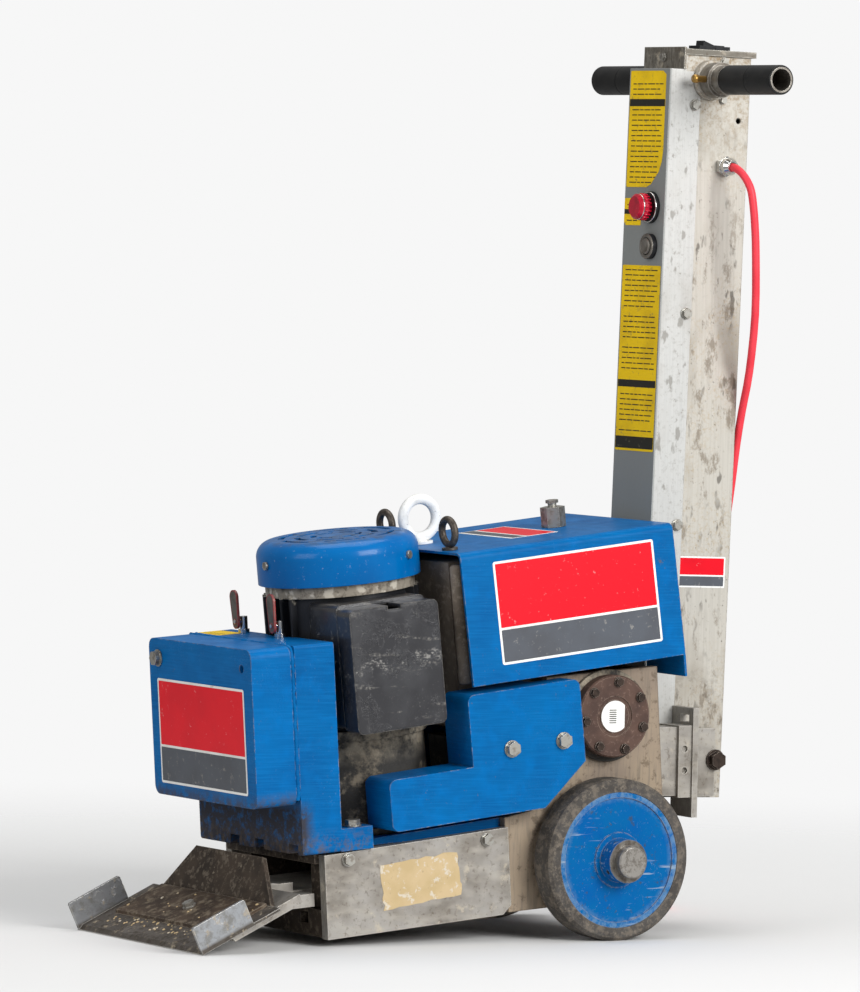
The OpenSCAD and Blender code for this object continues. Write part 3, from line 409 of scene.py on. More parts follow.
# Blade steel: bright from rubbing, coated with grey glue dust away from the edge
BLADE = Finish("worn_blade_steel", "#625C56", 0.45, metallic=0.4, layers=(
    Layer((cloud(40, 0.36, 0.6, 1),), "#4B4640", 0.75, roughness=0.62),
    Layer((grit(11, 0.5, 0.6, 2),), "#3D362F", 0.65, roughness=0.8, metallic=0.0),
    Layer((along(BLADE_FRAME, UP, 4.6, 9.0), along(BLADE_FRAME, BACK, 130, 120)), "#A5A8AC", 0.9, roughness=0.3,
          metallic=0.85),
    Layer((along(BLADE_FRAME, UP, 4.6, 9.0), grit(20, 0.45, 0.6, 7)), "#6F6D68", 0.8, roughness=0.5, metallic=0.5),
    Layer((grit(15, 0.56, 0.63, 4),), "#A69A86", 0.7, roughness=0.95, metallic=0.0, height=0.3),
    Layer((edge(2.0, 0.03, 0.2),), "#DAD8D2", 0.7, roughness=0.25),
))
# Steel under years of glue and dirt: brown-black, dull, lumpy
GRIME = Finish("grimy_steel", "#4A4037", 0.75, metallic=0.1, rounding=1.2, layers=(
    Layer((cloud(30, 0.4, 0.65, 1),), "#2A2521", 0.7, height=0.3),
    Layer((grit(9, 0.52, 0.62, 2),), "#83786A", 0.6, height=0.35),
    Layer((grit(16, 0.62, 0.67, 3),), "#B0A490", 0.7, height=0.2),
    Layer((edge(2.4, 0.03, 0.2), grit(10, 0.4, 0.55)), "#8D8274", 0.8),
))
# Tank plate in the hood's shade: primer under a film of fine dust
TANK = Finish("dusty_tank_plate", "#93877A", 0.7, rounding=1.0, layers=(
    Layer((cloud(40, 0.4, 0.62, 1, (1.0, 1.0, 2.5)),), "#6B5F53", 0.7),
    Layer((grit(8, 0.52, 0.64, 2),), "#B8AC9B", 0.5, height=0.1),
    Layer((edge(3.0, 0.03, 0.2),), "#4A4138", 0.7),
))
# Oiled flat bar: brown-black oil film, grey dust where it dried, rubbed arrises
CLAMP = Finish("oiled_steel_clamp", "#54463A", 0.6, metallic=0.35, rounding=1.0, layers=(
    Layer((cloud(35, 0.4, 0.62, 1),), "#362C25", 0.7),
    Layer((grit(12, 0.5, 0.6, 2),), "#8F8371", 0.6, roughness=0.9, height=0.2),
    Layer((edge(2.0, 0.03, 0.2), grit(8, 0.35, 0.5)), "#A79C8C", 0.8),
))
# Primer showing through on the rear walls: beige, streaked brown with grease
PRIMER = Finish("worn_primer", "#9A8A76", 0.62, layers=(
    Layer((cloud(70, 0.38, 0.62, 1),), "#85776A", 0.75),
    Layer((cloud(4, 0.5, 0.7, 2, (1.0, 1.0, 9.0)),), "#6B6359", 0.5),
    Layer((grit(14, 0.54, 0.62, 3),), "#574A3D", 0.6, roughness=0.8),
    Layer((edge(3.0, 0.03, 0.2),), "#4C4238", 0.6),
))
# Cast iron bell splashed with levelling compound
CASTING = Finish("splashed_casting", "#3F3D3A", 0.68, metallic=0.15, rounding=2.0, layers=(
    Layer((grit(2.2, 0.4, 0.7, 1),), "#2C2A28", 0.6, height=0.12),
    Layer((grit(34, 0.52, 0.62, 3), cloud(8, 0.35, 0.55, 2)), "#8D8271", 0.8, roughness=0.9, height=0.25),
    Layer((along(DECK, UP, 150, 196), grit(20, 0.4, 0.58, 5)), "#B3A894", 0.8, roughness=0.95, height=0.2),
    Layer((cloud(50, 0.45, 0.65, 8),), "#23211F", 0.5, roughness=0.45),
))
# Satin black stove enamel: scuffed pale on corners, with smears of filler
BLACK = Finish("scuffed_black_enamel", "#232327", 0.3, coat=0.5, specular=0.5, rounding=6.0, layers=(
    Layer((cloud(46, 0.42, 0.62, 1),), "#2D2E32", 0.7, roughness=0.42),
    Layer((grit(9, 0.5, 0.58, 31), cloud(34, 0.5, 0.62, 32)), None, height=0.35),
    Layer((grit(3, 0.6, 0.7, 2), cloud(30, 0.45, 0.65, 3)), "#B9B5AC", 0.5, roughness=0.8),
    Layer((along(DECK, UP, 268, 274), along(DECK, UP, 296, 286), grit(3, 0.5, 0.58, 33, (1.0, 2.5, 1.0)),
           cloud(16, 0.5, 0.58, 35)), "#A5A29C", 0.6, roughness=0.85, height=0.06),
    Layer((cloud(9, 0.62, 0.72, 4, (1.0, 8.0, 1.0)), grit(5, 0.45, 0.6, 5)), "#A9A49A", 0.4, roughness=0.85,
          height=0.1),
    Layer((edge(2.4, 0.03, 0.2), grit(7, 0.42, 0.55)), "#8E8A82", 0.8, roughness=0.6),
))
# The same enamel on the finned frame, with a cast ring dusted pale under the cowl
BLACK_MOTOR = Finish("scuffed_black_motor", "#1F2022", 0.4, rounding=1.0, layers=BLACK.layers[:1] + (
    Layer((along(DECK, UP, 360.5, 361.5), cloud(26, 0.25, 0.4, 3)), "#989083", 0.95, roughness=0.6, metallic=0.2),
    Layer((along(DECK, UP, 360.5, 361.5), grit(10, 0.5, 0.62, 4)), "#5A5248", 0.8),
    Layer((along(DECK, UP, 360.5, 361.5), cloud(14, 0.52, 0.6, 41)), "#CFC8BA", 0.8, roughness=0.9),
    Layer((grit(20, 0.64, 0.69, 7),), "#A19A8C", 0.7, roughness=0.9),
))
# Folded aluminium sheet, brushed along its length by handling, with painted shade darkening and dulling the cover's
# front face
ALUMINIUM = Finish("brushed_aluminium", "#C2C2BF", 0.42, metallic=0.35, layers=(
    Layer((cloud(1.6, 0.4, 0.7, 1, UPRIGHT),), "#A3A4A3", 0.25, height=0.02),
    Layer((cloud(60, 0.45, 0.65, 2, (1.0, 1.0, 2.0)),), "#A8A59E", 0.5, roughness=0.5),
    Layer((grit(5, 0.52, 0.7, 13),), "#94918A", 0.5),
    Layer((grit(9, 0.6, 0.68, 3),), "#6F685D", 0.6),
    Layer((cloud(3, 0.62, 0.67, 15, (1.0, 5.0, 9.0)),), "#77736B", 0.6),
    # Painted shade: the cover's front face (column Y below about 101 mm), lit less than its side, is darkened to grey
    # and dulled
    Layer((Mask(Pattern.ALONG, 3, 1, 1.0, BACK, 0.0, COLUMN @ Matrix.Translation((0, 100, 0))),), "#8A8D8B", 0.94,
          roughness=0.55, metallic=0.1),
    Layer((edge(2.0, 0.03, 0.2),), "#D5D5D2", 0.6),
))
# Galvanised channel with rust-brown runs from its seams
CHANNEL = Finish("stained_zinc", "#BDB9B0", 0.46, metallic=0.3, layers=(
    Layer((cloud(3, 0.4, 0.7, 1, UPRIGHT),), "#8E897F", 0.22, height=0.02),
    Layer((cloud(70, 0.46, 0.62, 2, (1.0, 1.0, 1.6)),), "#8F877A", 0.5, roughness=0.6),
    Layer((grit(4, 0.5, 0.66, 22), cloud(80, 0.4, 0.6, 23)), "#A5916F", 0.6),
    Layer((grit(7, 0.46, 0.62, 24), along(COLUMN, UP, 830, 985)), "#8A7250", 0.75, roughness=0.7),
    Layer((cloud(3.5, 0.6, 0.65, 25, (1.0, 4.0, 10.0)), cloud(70, 0.48, 0.6, 26)), "#4E4840", 0.7),
    Layer((grit(24, 0.54, 0.62, 3, (1.0, 1.0, 2.0)), along(COLUMN, UP, 980, 700)), "#6B5D4B", 0.6, roughness=0.75),
    Layer((grit(16, 0.5, 0.6, 6), along(COLUMN, UP, 260, 100)), "#463B30", 0.75, roughness=0.8),
    Layer((grit(6, 0.62, 0.68, 4),), "#4A4138", 0.6),
    Layer((edge(2.6, 0.03, 0.2), grit(14, 0.42, 0.56)), "#5B4F42", 0.7),
))
# Red oxide primer on the drive cap: matt brown, rubbed to lighter edges
BROWN = Finish("oxide_brown_paint", "#58433A", 0.5, rounding=1.2, layers=(
    Layer((cloud(26, 0.4, 0.62, 1),), "#40302B", 0.7),
    Layer((grit(5, 0.56, 0.66, 2),), "#8B7468", 0.5, height=0.1),
    Layer((edge(2.0, 0.03, 0.2), grit(6, 0.4, 0.54)), "#9C8B7D", 0.8),
))
# Zinc-plated bolts: dull silver, brown in the hollows, bright on the corners
BOLT = Finish("zinc_plated_bolt", "#A8A69F", 0.36, metallic=0.8, rounding=0.5, layers=(
    Layer((cloud(7, 0.45, 0.62, 1),), "#6B6258", 0.7, roughness=0.6),
    Layer((edge(1.0, 0.03, 0.25),), "#DDDAD3", 0.6, roughness=0.25),
))
# Blackened bolts: dark oil finish worn through on the corners
DARK_BOLT = Finish("blackened_bolt", "#3C322C", 0.46, metallic=0.5, rounding=0.5, layers=(
    Layer((cloud(6, 0.45, 0.62, 1),), "#211C19", 0.6),
    Layer((edge(1.0, 0.03, 0.25),), "#A2958A", 0.8, roughness=0.3),
))
# Solid rubber tyre: charcoal under a coat of cement dust, scuffed at the shoulder
RUBBER = Finish("tyre_rubber", "#4C4946", 0.75, rounding=1.0, layers=(
    Layer((cloud(30, 0.42, 0.62, 1),), "#3C3834", 0.7),
    Layer((grit(14, 0.48, 0.6, 12),), "#746B60", 0.7),
    Layer((grit(4, 0.55, 0.66, 2),), "#8A8073", 0.5, height=0.1),
    Layer((edge(3.0, 0.02, 0.15), grit(9, 0.42, 0.56)), "#6B6256", 0.7, height=-0.1),
))
# Moulded grip rubber: near black, polished by hands, dust in its pores
GRIP = Finish("moulded_grip_rubber", "#161616", 0.42, rounding=0.6, layers=(
    Layer((cloud(20, 0.42, 0.64, 1),), "#2B2A29", 0.7, roughness=0.6),
    Layer((grit(3, 0.62, 0.7, 2),), "#5E5A54", 0.4),
))
# Enamelled wheel disc: brushed blue, scratched around, turned bare at the hub
WHEEL = Finish("enamelled_wheel_disc", "#005C98", 0.36, specular=0.06, rounding=1.0, layers=(
    Layer((cloud(36, 0.4, 0.66, 1),), "#004F99", 0.6),
    Layer((grit(4, 0.6, 0.7, 2),), "#8FA9BE", 0.4),
    Layer((cloud(5, 0.6, 0.66, 12, (1.0, 14.0, 1.0)), cloud(60, 0.5, 0.6, 14)), "#A9B4BB", 0.6),
    Layer((grit(11, 0.6, 0.66, 6),), "#3B4550", 0.75, roughness=0.7),
    Layer((Mask(Pattern.AROUND, 70, 83), grit(9, 0.4, 0.56, 3)), "#6F8CA6", 0.7, roughness=0.7),
    Layer((edge(2.4, 0.03, 0.2), grit(8, 0.42, 0.56)), "#A1968A", 0.75),
    Layer((Mask(Pattern.AROUND, 27, 26),), "#7C7872", 1.0, roughness=0.38, metallic=0.75),
    Layer((Mask(Pattern.AROUND, 27, 26), cloud(9, 0.42, 0.62, 5)), "#4A413A", 0.75, roughness=0.6),
    Layer((Mask(Pattern.AROUND, 20.5, 19.5),), "#A19D97", 0.9, roughness=0.3),
    Layer((Mask(Pattern.AROUND, 20.5, 19.5), grit(5, 0.48, 0.6, 9)), "#5F5850", 0.6),
))
# White enamel on the lifting eye: bright, chipped to grey
WHITE = Finish("chipped_white_enamel", "#EDEDEA", 0.35, rounding=0.8, layers=(
    Layer((cloud(14, 0.5, 0.66, 1),), "#CFCFCB", 0.6),
    Layer((grit(6, 0.62, 0.66, 2),), "#8B8E92", 0.8, height=-0.1),
))
# Handled steel: grey-brown film, bright where hands and tools rub it
STEEL = Finish("handled_steel", "#8B867E", 0.4, metallic=0.75, rounding=0.8, layers=(
    Layer((cloud(16, 0.42, 0.62, 1),), "#5E564D", 0.7, roughness=0.6),
    Layer((grit(5, 0.58, 0.66, 2),), "#3E3730", 0.5),
    Layer((edge(1.6, 0.03, 0.2),), "#CDCAC3", 0.6, roughness=0.3),
))
# Forged eyebolts: dark scale with grey dust
EYEBOLT = Finish("dark_forged_steel", "#5D564F", 0.48, metallic=0.6, rounding=0.5, layers=(
    Layer((cloud(9, 0.42, 0.62, 1),), "#3A342F", 0.7),
    Layer((grit(4, 0.56, 0.66, 2),), "#8D8579", 0.6),
))
# Chrome plate: mirror with a few dull patches
CHROME = Finish("chrome_plate", "#D4D4D2", 0.16, metallic=1.0, rounding=0.5, layers=(
    Layer((cloud(8, 0.55, 0.7, 1),), "#9A958C", 0.5, roughness=0.4),
))
# Brass clamp screw: dull gold, brown with age
BRASS = Finish("dull_brass", "#B08A4A", 0.38, metallic=0.9, rounding=0.5, layers=(
    Layer((cloud(6, 0.45, 0.65, 1),), "#7A5F36", 0.6, roughness=0.55),
))
# Steel lever whose rim was dipped in red vinyl
VINYL_RED = Finish("steel_lever_edged_red", "#6F6B64", 0.45, metallic=0.5, rounding=0.6, layers=(
    Layer((cloud(9, 0.45, 0.65, 1),), "#55504A", 0.6),
    Layer((edge(3.2, 0.01, 0.05),), "#B3202C", 0.95, roughness=0.42, metallic=0.0),
    Layer((edge(3.2, 0.01, 0.05), grit(5, 0.5, 0.62, 2)), "#6A3A36", 0.6),
))
# Moulded red nylon of the stop head: glossy, with pale scratches
STOP_RED = Finish("moulded_red_nylon", "#B80F2E", 0.3, coat=0.3, rounding=0.5, layers=(
    Layer((cloud(12, 0.45, 0.65, 1),), "#8A0B22", 0.6),
    Layer((grit(4, 0.62, 0.68, 2),), "#D98A93", 0.4),
))
# Extruded PVC sheath of the lead: even coral red with dust smears
LEAD_RED = Finish("extruded_pvc_red", "#F04450", 0.4, rounding=0.0, layers=(
    Layer((cloud(30, 0.42, 0.66, 1),), "#D83340", 0.6),
    Layer((grit(7, 0.58, 0.68, 2),), "#9E5A58", 0.4),
))
# Moulded black nylon: satin, greyer on its edges
NYLON = Finish("moulded_black_nylon", "#1B1C1E", 0.4, rounding=0.5, layers=(
    Layer((cloud(12, 0.45, 0.65, 1),), "#2E2F31", 0.6, roughness=0.55),
    Layer((edge(1.0, 0.03, 0.25),), "#5C5C5B", 0.5),
))
# Steel cap of the column, with the stains of bare plate
CAP = Finish("stained_steel_cap", "#6E6A62", 0.46, metallic=0.55, layers=PLATE.layers)
# Enamelled copper winding: red-brown strands
COPPER = Finish("enamelled_copper_wire", "#8A4B2A", 0.4, metallic=0.8, layers=(
    Layer((cloud(2, 0.4, 0.7, 1, UPRIGHT),), "#5C2F1A", 0.6, height=0.2),
))
# White vinyl film: bright, with grey scuffs
PAPER_WHITE = Finish("vinyl_film_white", "#E9E9E6", 0.45, rounding=0.0, layers=(
    Layer((grit(10, 0.6, 0.7, 1),), "#9C968C", 0.6),
    Layer((cloud(40, 0.5, 0.7, 2),), "#C9C5BC", 0.5),
))
# Red vinyl film of the signs: saturated, with pale scratches
FILM_RED = Finish("vinyl_film_red", "#E2061F", 0.34, rounding=0.0, layers=(
    Layer((cloud(50, 0.4, 0.7, 1),), "#D0051E", 0.6),
    Layer((grit(8, 0.63, 0.68, 2),), "#E3B2B2", 0.5, roughness=0.6),
))
# Grey vinyl film of the signs: blue-grey, dusty
FILM_GREY = Finish("vinyl_film_grey", "#54585F", 0.4, rounding=0.0, layers=(
    Layer((cloud(40, 0.4, 0.7, 1),), "#4A4B4F", 0.6),
    Layer((grit(8, 0.6, 0.68, 2),), "#A5A199", 0.5, roughness=0.7),
))
# Printed yellow film: strong yellow, browned by grease
FILM_YELLOW = Finish("printed_film_yellow", "#FFD40A", 0.42, rounding=0.0, layers=(
    Layer((cloud(40, 0.45, 0.7, 1),), "#DDB413", 0.6),
    Layer((grit(9, 0.58, 0.66, 2),), "#8A7C4C", 0.6),
))
# Black print on the yellow film: worn thin in spots
FILM_BLACK = Finish("printed_film_black", "#28261F", 0.45, rounding=0.0, layers=(
    Layer((grit(8, 0.6, 0.68, 2),), "#8A8266", 0.5),
))
# Paper tape left on the plate: tan, torn fibres, dirt
TAPE = Finish("paper_tape", "#C4AD86", 0.7, rounding=0.0, layers=(
    Layer((cloud(30, 0.42, 0.64, 1),), "#B7A075", 0.7),
    Layer((grit(18, 0.56, 0.6, 3),), "#CFC8BA", 0.8, height=0.1),
    Layer((grit(6, 0.62, 0.68, 2),), "#7A6A50", 0.5),
))

DRESS: dict[Finish, tuple[str, ...]] = {
    BLUE: ("guard_left", "guard_right", "hood", "deck"),
    BLUE_WEIGHT: ("front_weight",),
    BLUE_BRACKET: ("weight_bracket",),
    BLUE_GLOSS: ("fan_cowl",),
    PLATE: ("side_plate_left", "side_plate_right", "blade_carrier", "column_brackets", "blade_seat"),
    BLADE: ("blade",),
    GRIME: ("top_plate", "cross_plates", "deflector", "drive_chain"),
    TANK: ("oil_tank",),
    CLAMP: ("blade_clamp_plate",),
    PRIMER: ("rear_wall_left", "rear_wall_right"),
    CASTING: ("motor_bell", "drive_motor", "hydraulic_pump"),
    BLACK: ("terminal_box", "terminal_lid"),
    BLACK_MOTOR: ("motor_frame",),
    ALUMINIUM: ("column_cover",),
    CHANNEL: ("column_channel",),
    BROWN: ("drive_motor_cap",),
    BOLT: ("hex_bolts", "cowl_screws", "blade_clamp_bolt", "column_screws", "filler_breather"),
    DARK_BOLT: ("cap_bolts", "pivot_bolt"),
    RUBBER: ("tyres", "lead_plug"),
    GRIP: ("grips",),
    WHEEL: ("wheelset",),
    WHITE: ("lifting_eye",),
    STEEL: ("handlebar", "rotor", "drive_shaft", "start_button"),
    EYEBOLT: ("eyebolts",),
    CHROME: ("valve_bodies", "cable_gland"),
    VINYL_RED: ("valve_lever_left", "valve_lever_right"),
    STOP_RED: ("estop_head",),
    LEAD_RED: ("motor_lead",),
    NYLON: ("switch_housings", "rocker_switch"),
    CAP: ("column_cap",),
    COPPER: ("stator",),
}


def dress_frame() -> None:
    """Gives every node of the frame its finish."""
    for finish, nodes in DRESS.items():
        for name in nodes:
            mesh = frame["nodes"][name].data
            mesh.materials.clear()
            mesh.materials.append(finish.material())
    log.info("dressed %d nodes", sum(len(nodes) for nodes in DRESS.values()))


# ---------------------------------------------------------------- making pieces


def keep(name: str, form: bmesh.types.BMesh, finishes: tuple[Finish, ...], body: str | None = "chassis",
         smooth: bool = False) -> bpy.types.Object:
    """Turns a bmesh into a piece that rides on a body.

    Args:
        name: the piece's name.
        form: the bmesh, already in its place; it is freed.
        finishes: finish of each material index.
        body: the body it rides on, or None to leave that to the caller.
        smooth: whether its faces are shaded smooth.

    Returns:
        The object.
    """
    bmesh.ops.recalc_face_normals(form, faces=form.faces)
    mesh = bpy.data.meshes.new(name)
    for one in form.faces:
        one.smooth = smooth
    form.to_mesh(mesh)
    form.free()
    for finish in finishes:
        mesh.materials.append(finish.material())
    piece = bpy.data.objects.new(name, mesh)
    bpy.context.scene.collection.objects.link(piece)
    if body is not None:
        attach(piece, body)
    log.info("%s: %d faces on %s", name, len(mesh.polygons), body)
    return piece


def slab(form: bmesh.types.BMesh, place: Matrix, width: float, height: float, thickness: float,
         corner: float = 0.0, index: int = 0, at: tuple[float, float] = (0.0, 0.0), base: float = 0.0) -> None:
    """Adds a thin plate with round corners to a bmesh.

    Args:
        form: the bmesh to add to.
        place: frame of the face that the plate lies on.
        width: its width in millimetres.
        height: its height.
        thickness: its thickness.
        corner: radius of its corners.
        index: its material index.
        at: its middle on the face.
        base: how far its back stands off the face.
    """
    made = bmesh.ops.create_grid(form, x_segments=1, y_segments=1, size=0.5)["verts"]
    bmesh.ops.transform(form, matrix=Matrix.Diagonal((width, height, 1.0, 1.0)), verts=made)
    if corner:
        made = bmesh.ops.bevel(form, geom=made, offset=corner, segments=5, profile=0.5, affect="VERTICES",
                               material=-1)["verts"]
    faces = list({one for vert in made for one in vert.link_faces})
    raised = bmesh.ops.extrude_face_region(form, geom=faces)["geom"]
    top = [item for item in raised if isinstance(item, bmesh.types.BMVert)]
    bmesh.ops.translate(form, verts=top, vec=(0.0, 0.0, thickness))
    whole = list(set(made) | set(top))
    for one in {link for vert in whole for link in vert.link_faces}:
        one.material_index = index
    shift = Matrix.Translation((at[0], at[1], base))
    bmesh.ops.transform(form, matrix=place @ shift, verts=whole)


def barrel(form: bmesh.types.BMesh, place: Matrix, outline: list[tuple[float, float]], steps: int = 48,
           index: int = 0) -> None:
    """Adds a turned shape about the Z axis of a frame.

    Args:
        form: the bmesh to add to.
        place: the frame.
        outline: radius and height of each corner of its closed section, in millimetres.
        steps: number of steps round it.
        index: its material index.
    """
    corners = [form.verts.new((radius, 0.0, height)) for radius, height in outline]
    edges = [form.edges.new((corners[i], corners[(i + 1) % len(corners)])) for i in range(len(corners))]
    before = set(form.faces)
    bmesh.ops.spin(form, geom=corners + edges, cent=(0, 0, 0), axis=(0, 0, 1), angle=2 * math.pi, steps=steps,
                   use_merge=True)
    fresh = [one for one in form.faces if one not in before]
    verts = list({vert for one in fresh for vert in one.verts})
    for one in fresh:
        one.material_index = index
    bmesh.ops.transform(form, matrix=place, verts=verts)
    bmesh.ops.remove_doubles(form, verts=verts, dist=1e-6)


def soft_step(share: float) -> float:
    """Smooth step from 0 to 1, flat at both ends and beyond them."""
    share = min(1.0, max(0.0, share))
    return share * share * (3 - 2 * share)


def smooth_line(points: list[tuple[float, float, float]], steps: int) -> list[Vector]:
    """Points of a smooth curve through a list of points.

    Args:
        points: the points that it passes through.
        steps: how many steps it makes between neighbours.

    Returns:
        The points of the curve.
    """
    spots = [Vector(point) for point in points]
    line = []
    for i in range(len(spots) - 1):
        a, b, c, d = (spots[max(i - 1, 0)], spots[i], spots[i + 1], spots[min(i + 2, len(spots) - 1)])
        for step in range(steps):
            t = step / steps
            line.append(b + (c - a) * t / 2 + (2 * a - 5 * b + 4 * c - d) * t * t / 2
                        + (3 * b - a - 3 * c + d) * t ** 3 / 2)
    line.append(spots[-1])
    return line


def tube_along(name: str, line: list[Vector], radius: float, finish: Finish, sides: int = 3) -> bpy.types.Object:
    """A round tube along a line of points in metres.

    Args:
        name: the piece's name.
        line: the points.
        radius: the tube's radius in metres.
        finish: its finish.
        sides: resolution of its bevel.

    Returns:
        The tube as a mesh object that rides on nothing yet.
    """
    curve = bpy.data.curves.new(name + "_line", "CURVE")
    curve.dimensions = "3D"
    curve.bevel_depth = radius
    curve.bevel_resolution = sides
    curve.use_fill_caps = True
    spline = curve.splines.new("POLY")
    spline.points.add(len(line) - 1)
    for point, spot in zip(spline.points, line):
        point.co = (*spot, 1.0)
    holder = bpy.data.objects.new(name + "_holder", curve)
    bpy.context.scene.collection.objects.link(holder)
    bpy.context.view_layer.update()
    mesh = bpy.data.meshes.new_from_object(holder.evaluated_get(bpy.context.evaluated_depsgraph_get()))
    bpy.data.objects.remove(holder)
    bpy.data.curves.remove(curve)
    mesh.materials.clear()
    mesh.materials.append(finish.material())
    for one in mesh.polygons:
        one.use_smooth = True
    tube = bpy.data.objects.new(name, mesh)
    bpy.context.scene.collection.objects.link(tube)
    return tube


# ---------------------------------------------------------------- studio


@dataclass(frozen=True)
class Lamp:
    """A soft square lamp that looks at the middle of the machine; metres and watts."""

    name: str
    spot: tuple[float, float, float]
    size: float
    power: float

    def hang(self) -> None:
        """Makes the lamp."""
        data = bpy.data.lights.new(self.name, "AREA")
        data.size = self.size
        data.energy = self.power
        lamp = bpy.data.objects.new(self.name, data)
        lamp.location = self.spot
        aim = MACHINE_MIDDLE - Vector(self.spot)
        lamp.rotation_euler = aim.to_track_quat("-Z", "Y").to_euler()
        bpy.context.scene.collection.objects.link(lamp)


@dataclass(frozen=True)
class Studio:
    """Camera, lights and the pale floor.

    surround is the light that falls from all round, backdrop what the camera sees behind the machine.
    The floor is solid up to fade_from and clear at fade_to, both in metres.
    """

    eye: tuple[float, float, float] = (7.96115, -4.81234, 0.91233)
    right: tuple[float, float, float] = (0.501874, 0.864677, 0.021362)
    up: tuple[float, float, float] = (-0.045549, 0.001758, 0.998961)
    back: tuple[float, float, float] = (0.863740, -0.502326, 0.040268)
    lens: float = 270.7
    lamps: tuple[Lamp, ...] = (
        Lamp("key", (4.6, 1.2, 2.4), 2.6, 270),
        Lamp("fill", (1.0, -5.5, 2.6), 3.0, 85),
        Lamp("top", (-0.6, 0.4, 4.6), 3.2, 105),
    )
    surround: float = 0.32
    backdrop: float = 0.93
    floor_radius: float = 2.6
    fade_from: float = 0.5
    fade_to: float = 2.4

    def camera(self) -> None:
        """Places the camera; its Y is counted from the axle."""
        data = bpy.data.cameras.new("camera")
        data.lens = self.lens
        data.sensor_width = 36.0
        data.clip_end = 100.0
        rig = bpy.data.objects.new("camera", data)
        turn = Matrix((self.right, self.up, self.back)).transposed().to_4x4()
        rig.matrix_world = Matrix.Translation(Vector(self.eye) + Vector((0.0, AXLE.y, 0.0))) @ turn
        bpy.context.scene.collection.objects.link(rig)
        bpy.context.scene.camera = rig

    def lights(self) -> None:
        """Key from the drive side, weaker fill from the front, and a dim even surround."""
        for lamp in self.lamps:
            lamp.hang()
        world = bpy.data.worlds.new("surround")
        world.use_nodes = True
        tree = world.node_tree
        seen = add_node(tree, "ShaderNodeLightPath").outputs["Is Camera Ray"]
        tone = add_node(tree, "ShaderNodeMix", {0: seen, 2: self.surround, 3: self.backdrop})
        join(tree, tree.nodes["Background"], {0: (1.0, 1.0, 1.0, 1.0), 1: tone.outputs[0]})
        bpy.context.scene.world = world
        bpy.context.scene.view_settings.view_transform = "Standard"

    def floor(self) -> None:
        """A pale floor that fades out into the backdrop."""
        form = bmesh.new()
        bmesh.ops.create_circle(form, cap_ends=True, segments=64, radius=self.floor_radius)
        mesh = bpy.data.meshes.new("floor")
        form.to_mesh(mesh)
        form.free()
        paint = Painter(Finish("matt_floor_paint", "#DEDEDD", 0.9, rounding=0.0))
        far = paint.add("ShaderNodeVectorMath", {0: paint.place}, operation="LENGTH").outputs["Value"]
        fade = paint.add("ShaderNodeMapRange", {0: far, 1: self.fade_from, 2: self.fade_to},
                         interpolation_type="SMOOTHSTEP").outputs[0]
        clear = paint.add("ShaderNodeBsdfTransparent").outputs[0]
        mixed = paint.add("ShaderNodeMixShader", {0: fade, 1: paint.shader.outputs[0], 2: clear}).outputs[0]
        paint.join(paint.output, {"Surface": mixed})
        mesh.materials.append(paint.material)
        floor = bpy.data.objects.new("floor", mesh)
        bpy.context.scene.collection.objects.link(floor)


# ---------------------------------------------------------------- sub-assemblies


@dataclass
class PowerLead:
    """The free lead: out of its gland, down behind the column, and coiled on the floor.

    Each turn has its radius and its height over the first one. The last turn climbs to the plug.
    Points are in millimetres from the axle.
    """

    radius: float = 5.0
    centre: tuple[float, float] = (-205.0, 246.0)
    turns: tuple[tuple[float, float], ...] = ((50.0, 0.0), (40.0, 0.0), (45.0, 8.7))
    steps: int = 28
    ease: float = 0.3
    climb_from: float = 2.58
    climb_over: float = 0.36
    climb: float = 24.0
    coil_start: tuple[float, float, float] = (-184, 196.2, -94.8)
    plug_entry: tuple[float, float, float] = (-192.1, 202.7, -62.1)
    column_foot: tuple[float, float, float] = (-112, 208, 120)
    chassis_end: tuple[float, float, float] = (-112, 208, 20)
    upper: tuple[tuple[float, float, float], ...] = (
        (52, 207, 856), (62, 207, 856), (72.4, 207.3, 854.6), (82, 208, 850.6), (90.3, 209.5, 844.3),
        (96.6, 211.5, 836), (100.6, 213.5, 826.4), (102.6, 215.3, 812), (103.6, 218, 786), (103, 221, 747),
        (97, 226, 672), (74, 234, 600), (50, 240, 551), (34, 243, 507), (16, 246, 440),
        (-6, 249, 370), (-30, 249, 300), (-58, 246, 235), (-82, 238, 180), (-100, 226, 132), (-109, 214, 98),
        (-112, 208, 72), (-112, 208, 40), (-112, 207, 5), (-113.5, 206, -25), (-118, 204, -50),
        (-127, 201, -71), (-142, 199, -87), (-157, 198, -93.6), (-171, 197, -94.8),
    )

    def coil(self) -> list[tuple[float, float, float]]:
        """Points of the three turns and of the rise to the plug.

        Returns:
            The points, in millimetres from the axle.
        """
        ground = -AXLE_HEIGHT + self.radius + 0.2
        points = []
        for step in range(2, len(self.turns) * self.steps - 1):
            turn = step / self.steps
            radius, height = self.turns[int(turn)]
            if turn >= 1:
                last, low = self.turns[int(turn) - 1]
                ease = soft_step((turn % 1) / self.ease)
                radius, height = last + (radius - last) * ease, low + (height - low) * ease
            height += self.climb * soft_step((turn - self.climb_from) / self.climb_over)
            angle = -math.pi / 2 - turn * math.tau
            points.append((self.centre[0] + radius * math.cos(angle), self.centre[1] + radius * math.sin(angle),
                           ground + height))
        return points

    def build(self) -> None:
        route = [*self.upper, self.coil_start, *self.coil()[:-1], self.plug_entry]
        line = [LEVEL @ spot for spot in smooth_line(route, 3)]
        lead = tube_along("power_lead_run", line, self.radius * MM, LEAD_RED)
        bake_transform(lead)
        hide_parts("power_lead", "lead_tail", "lead_coil")


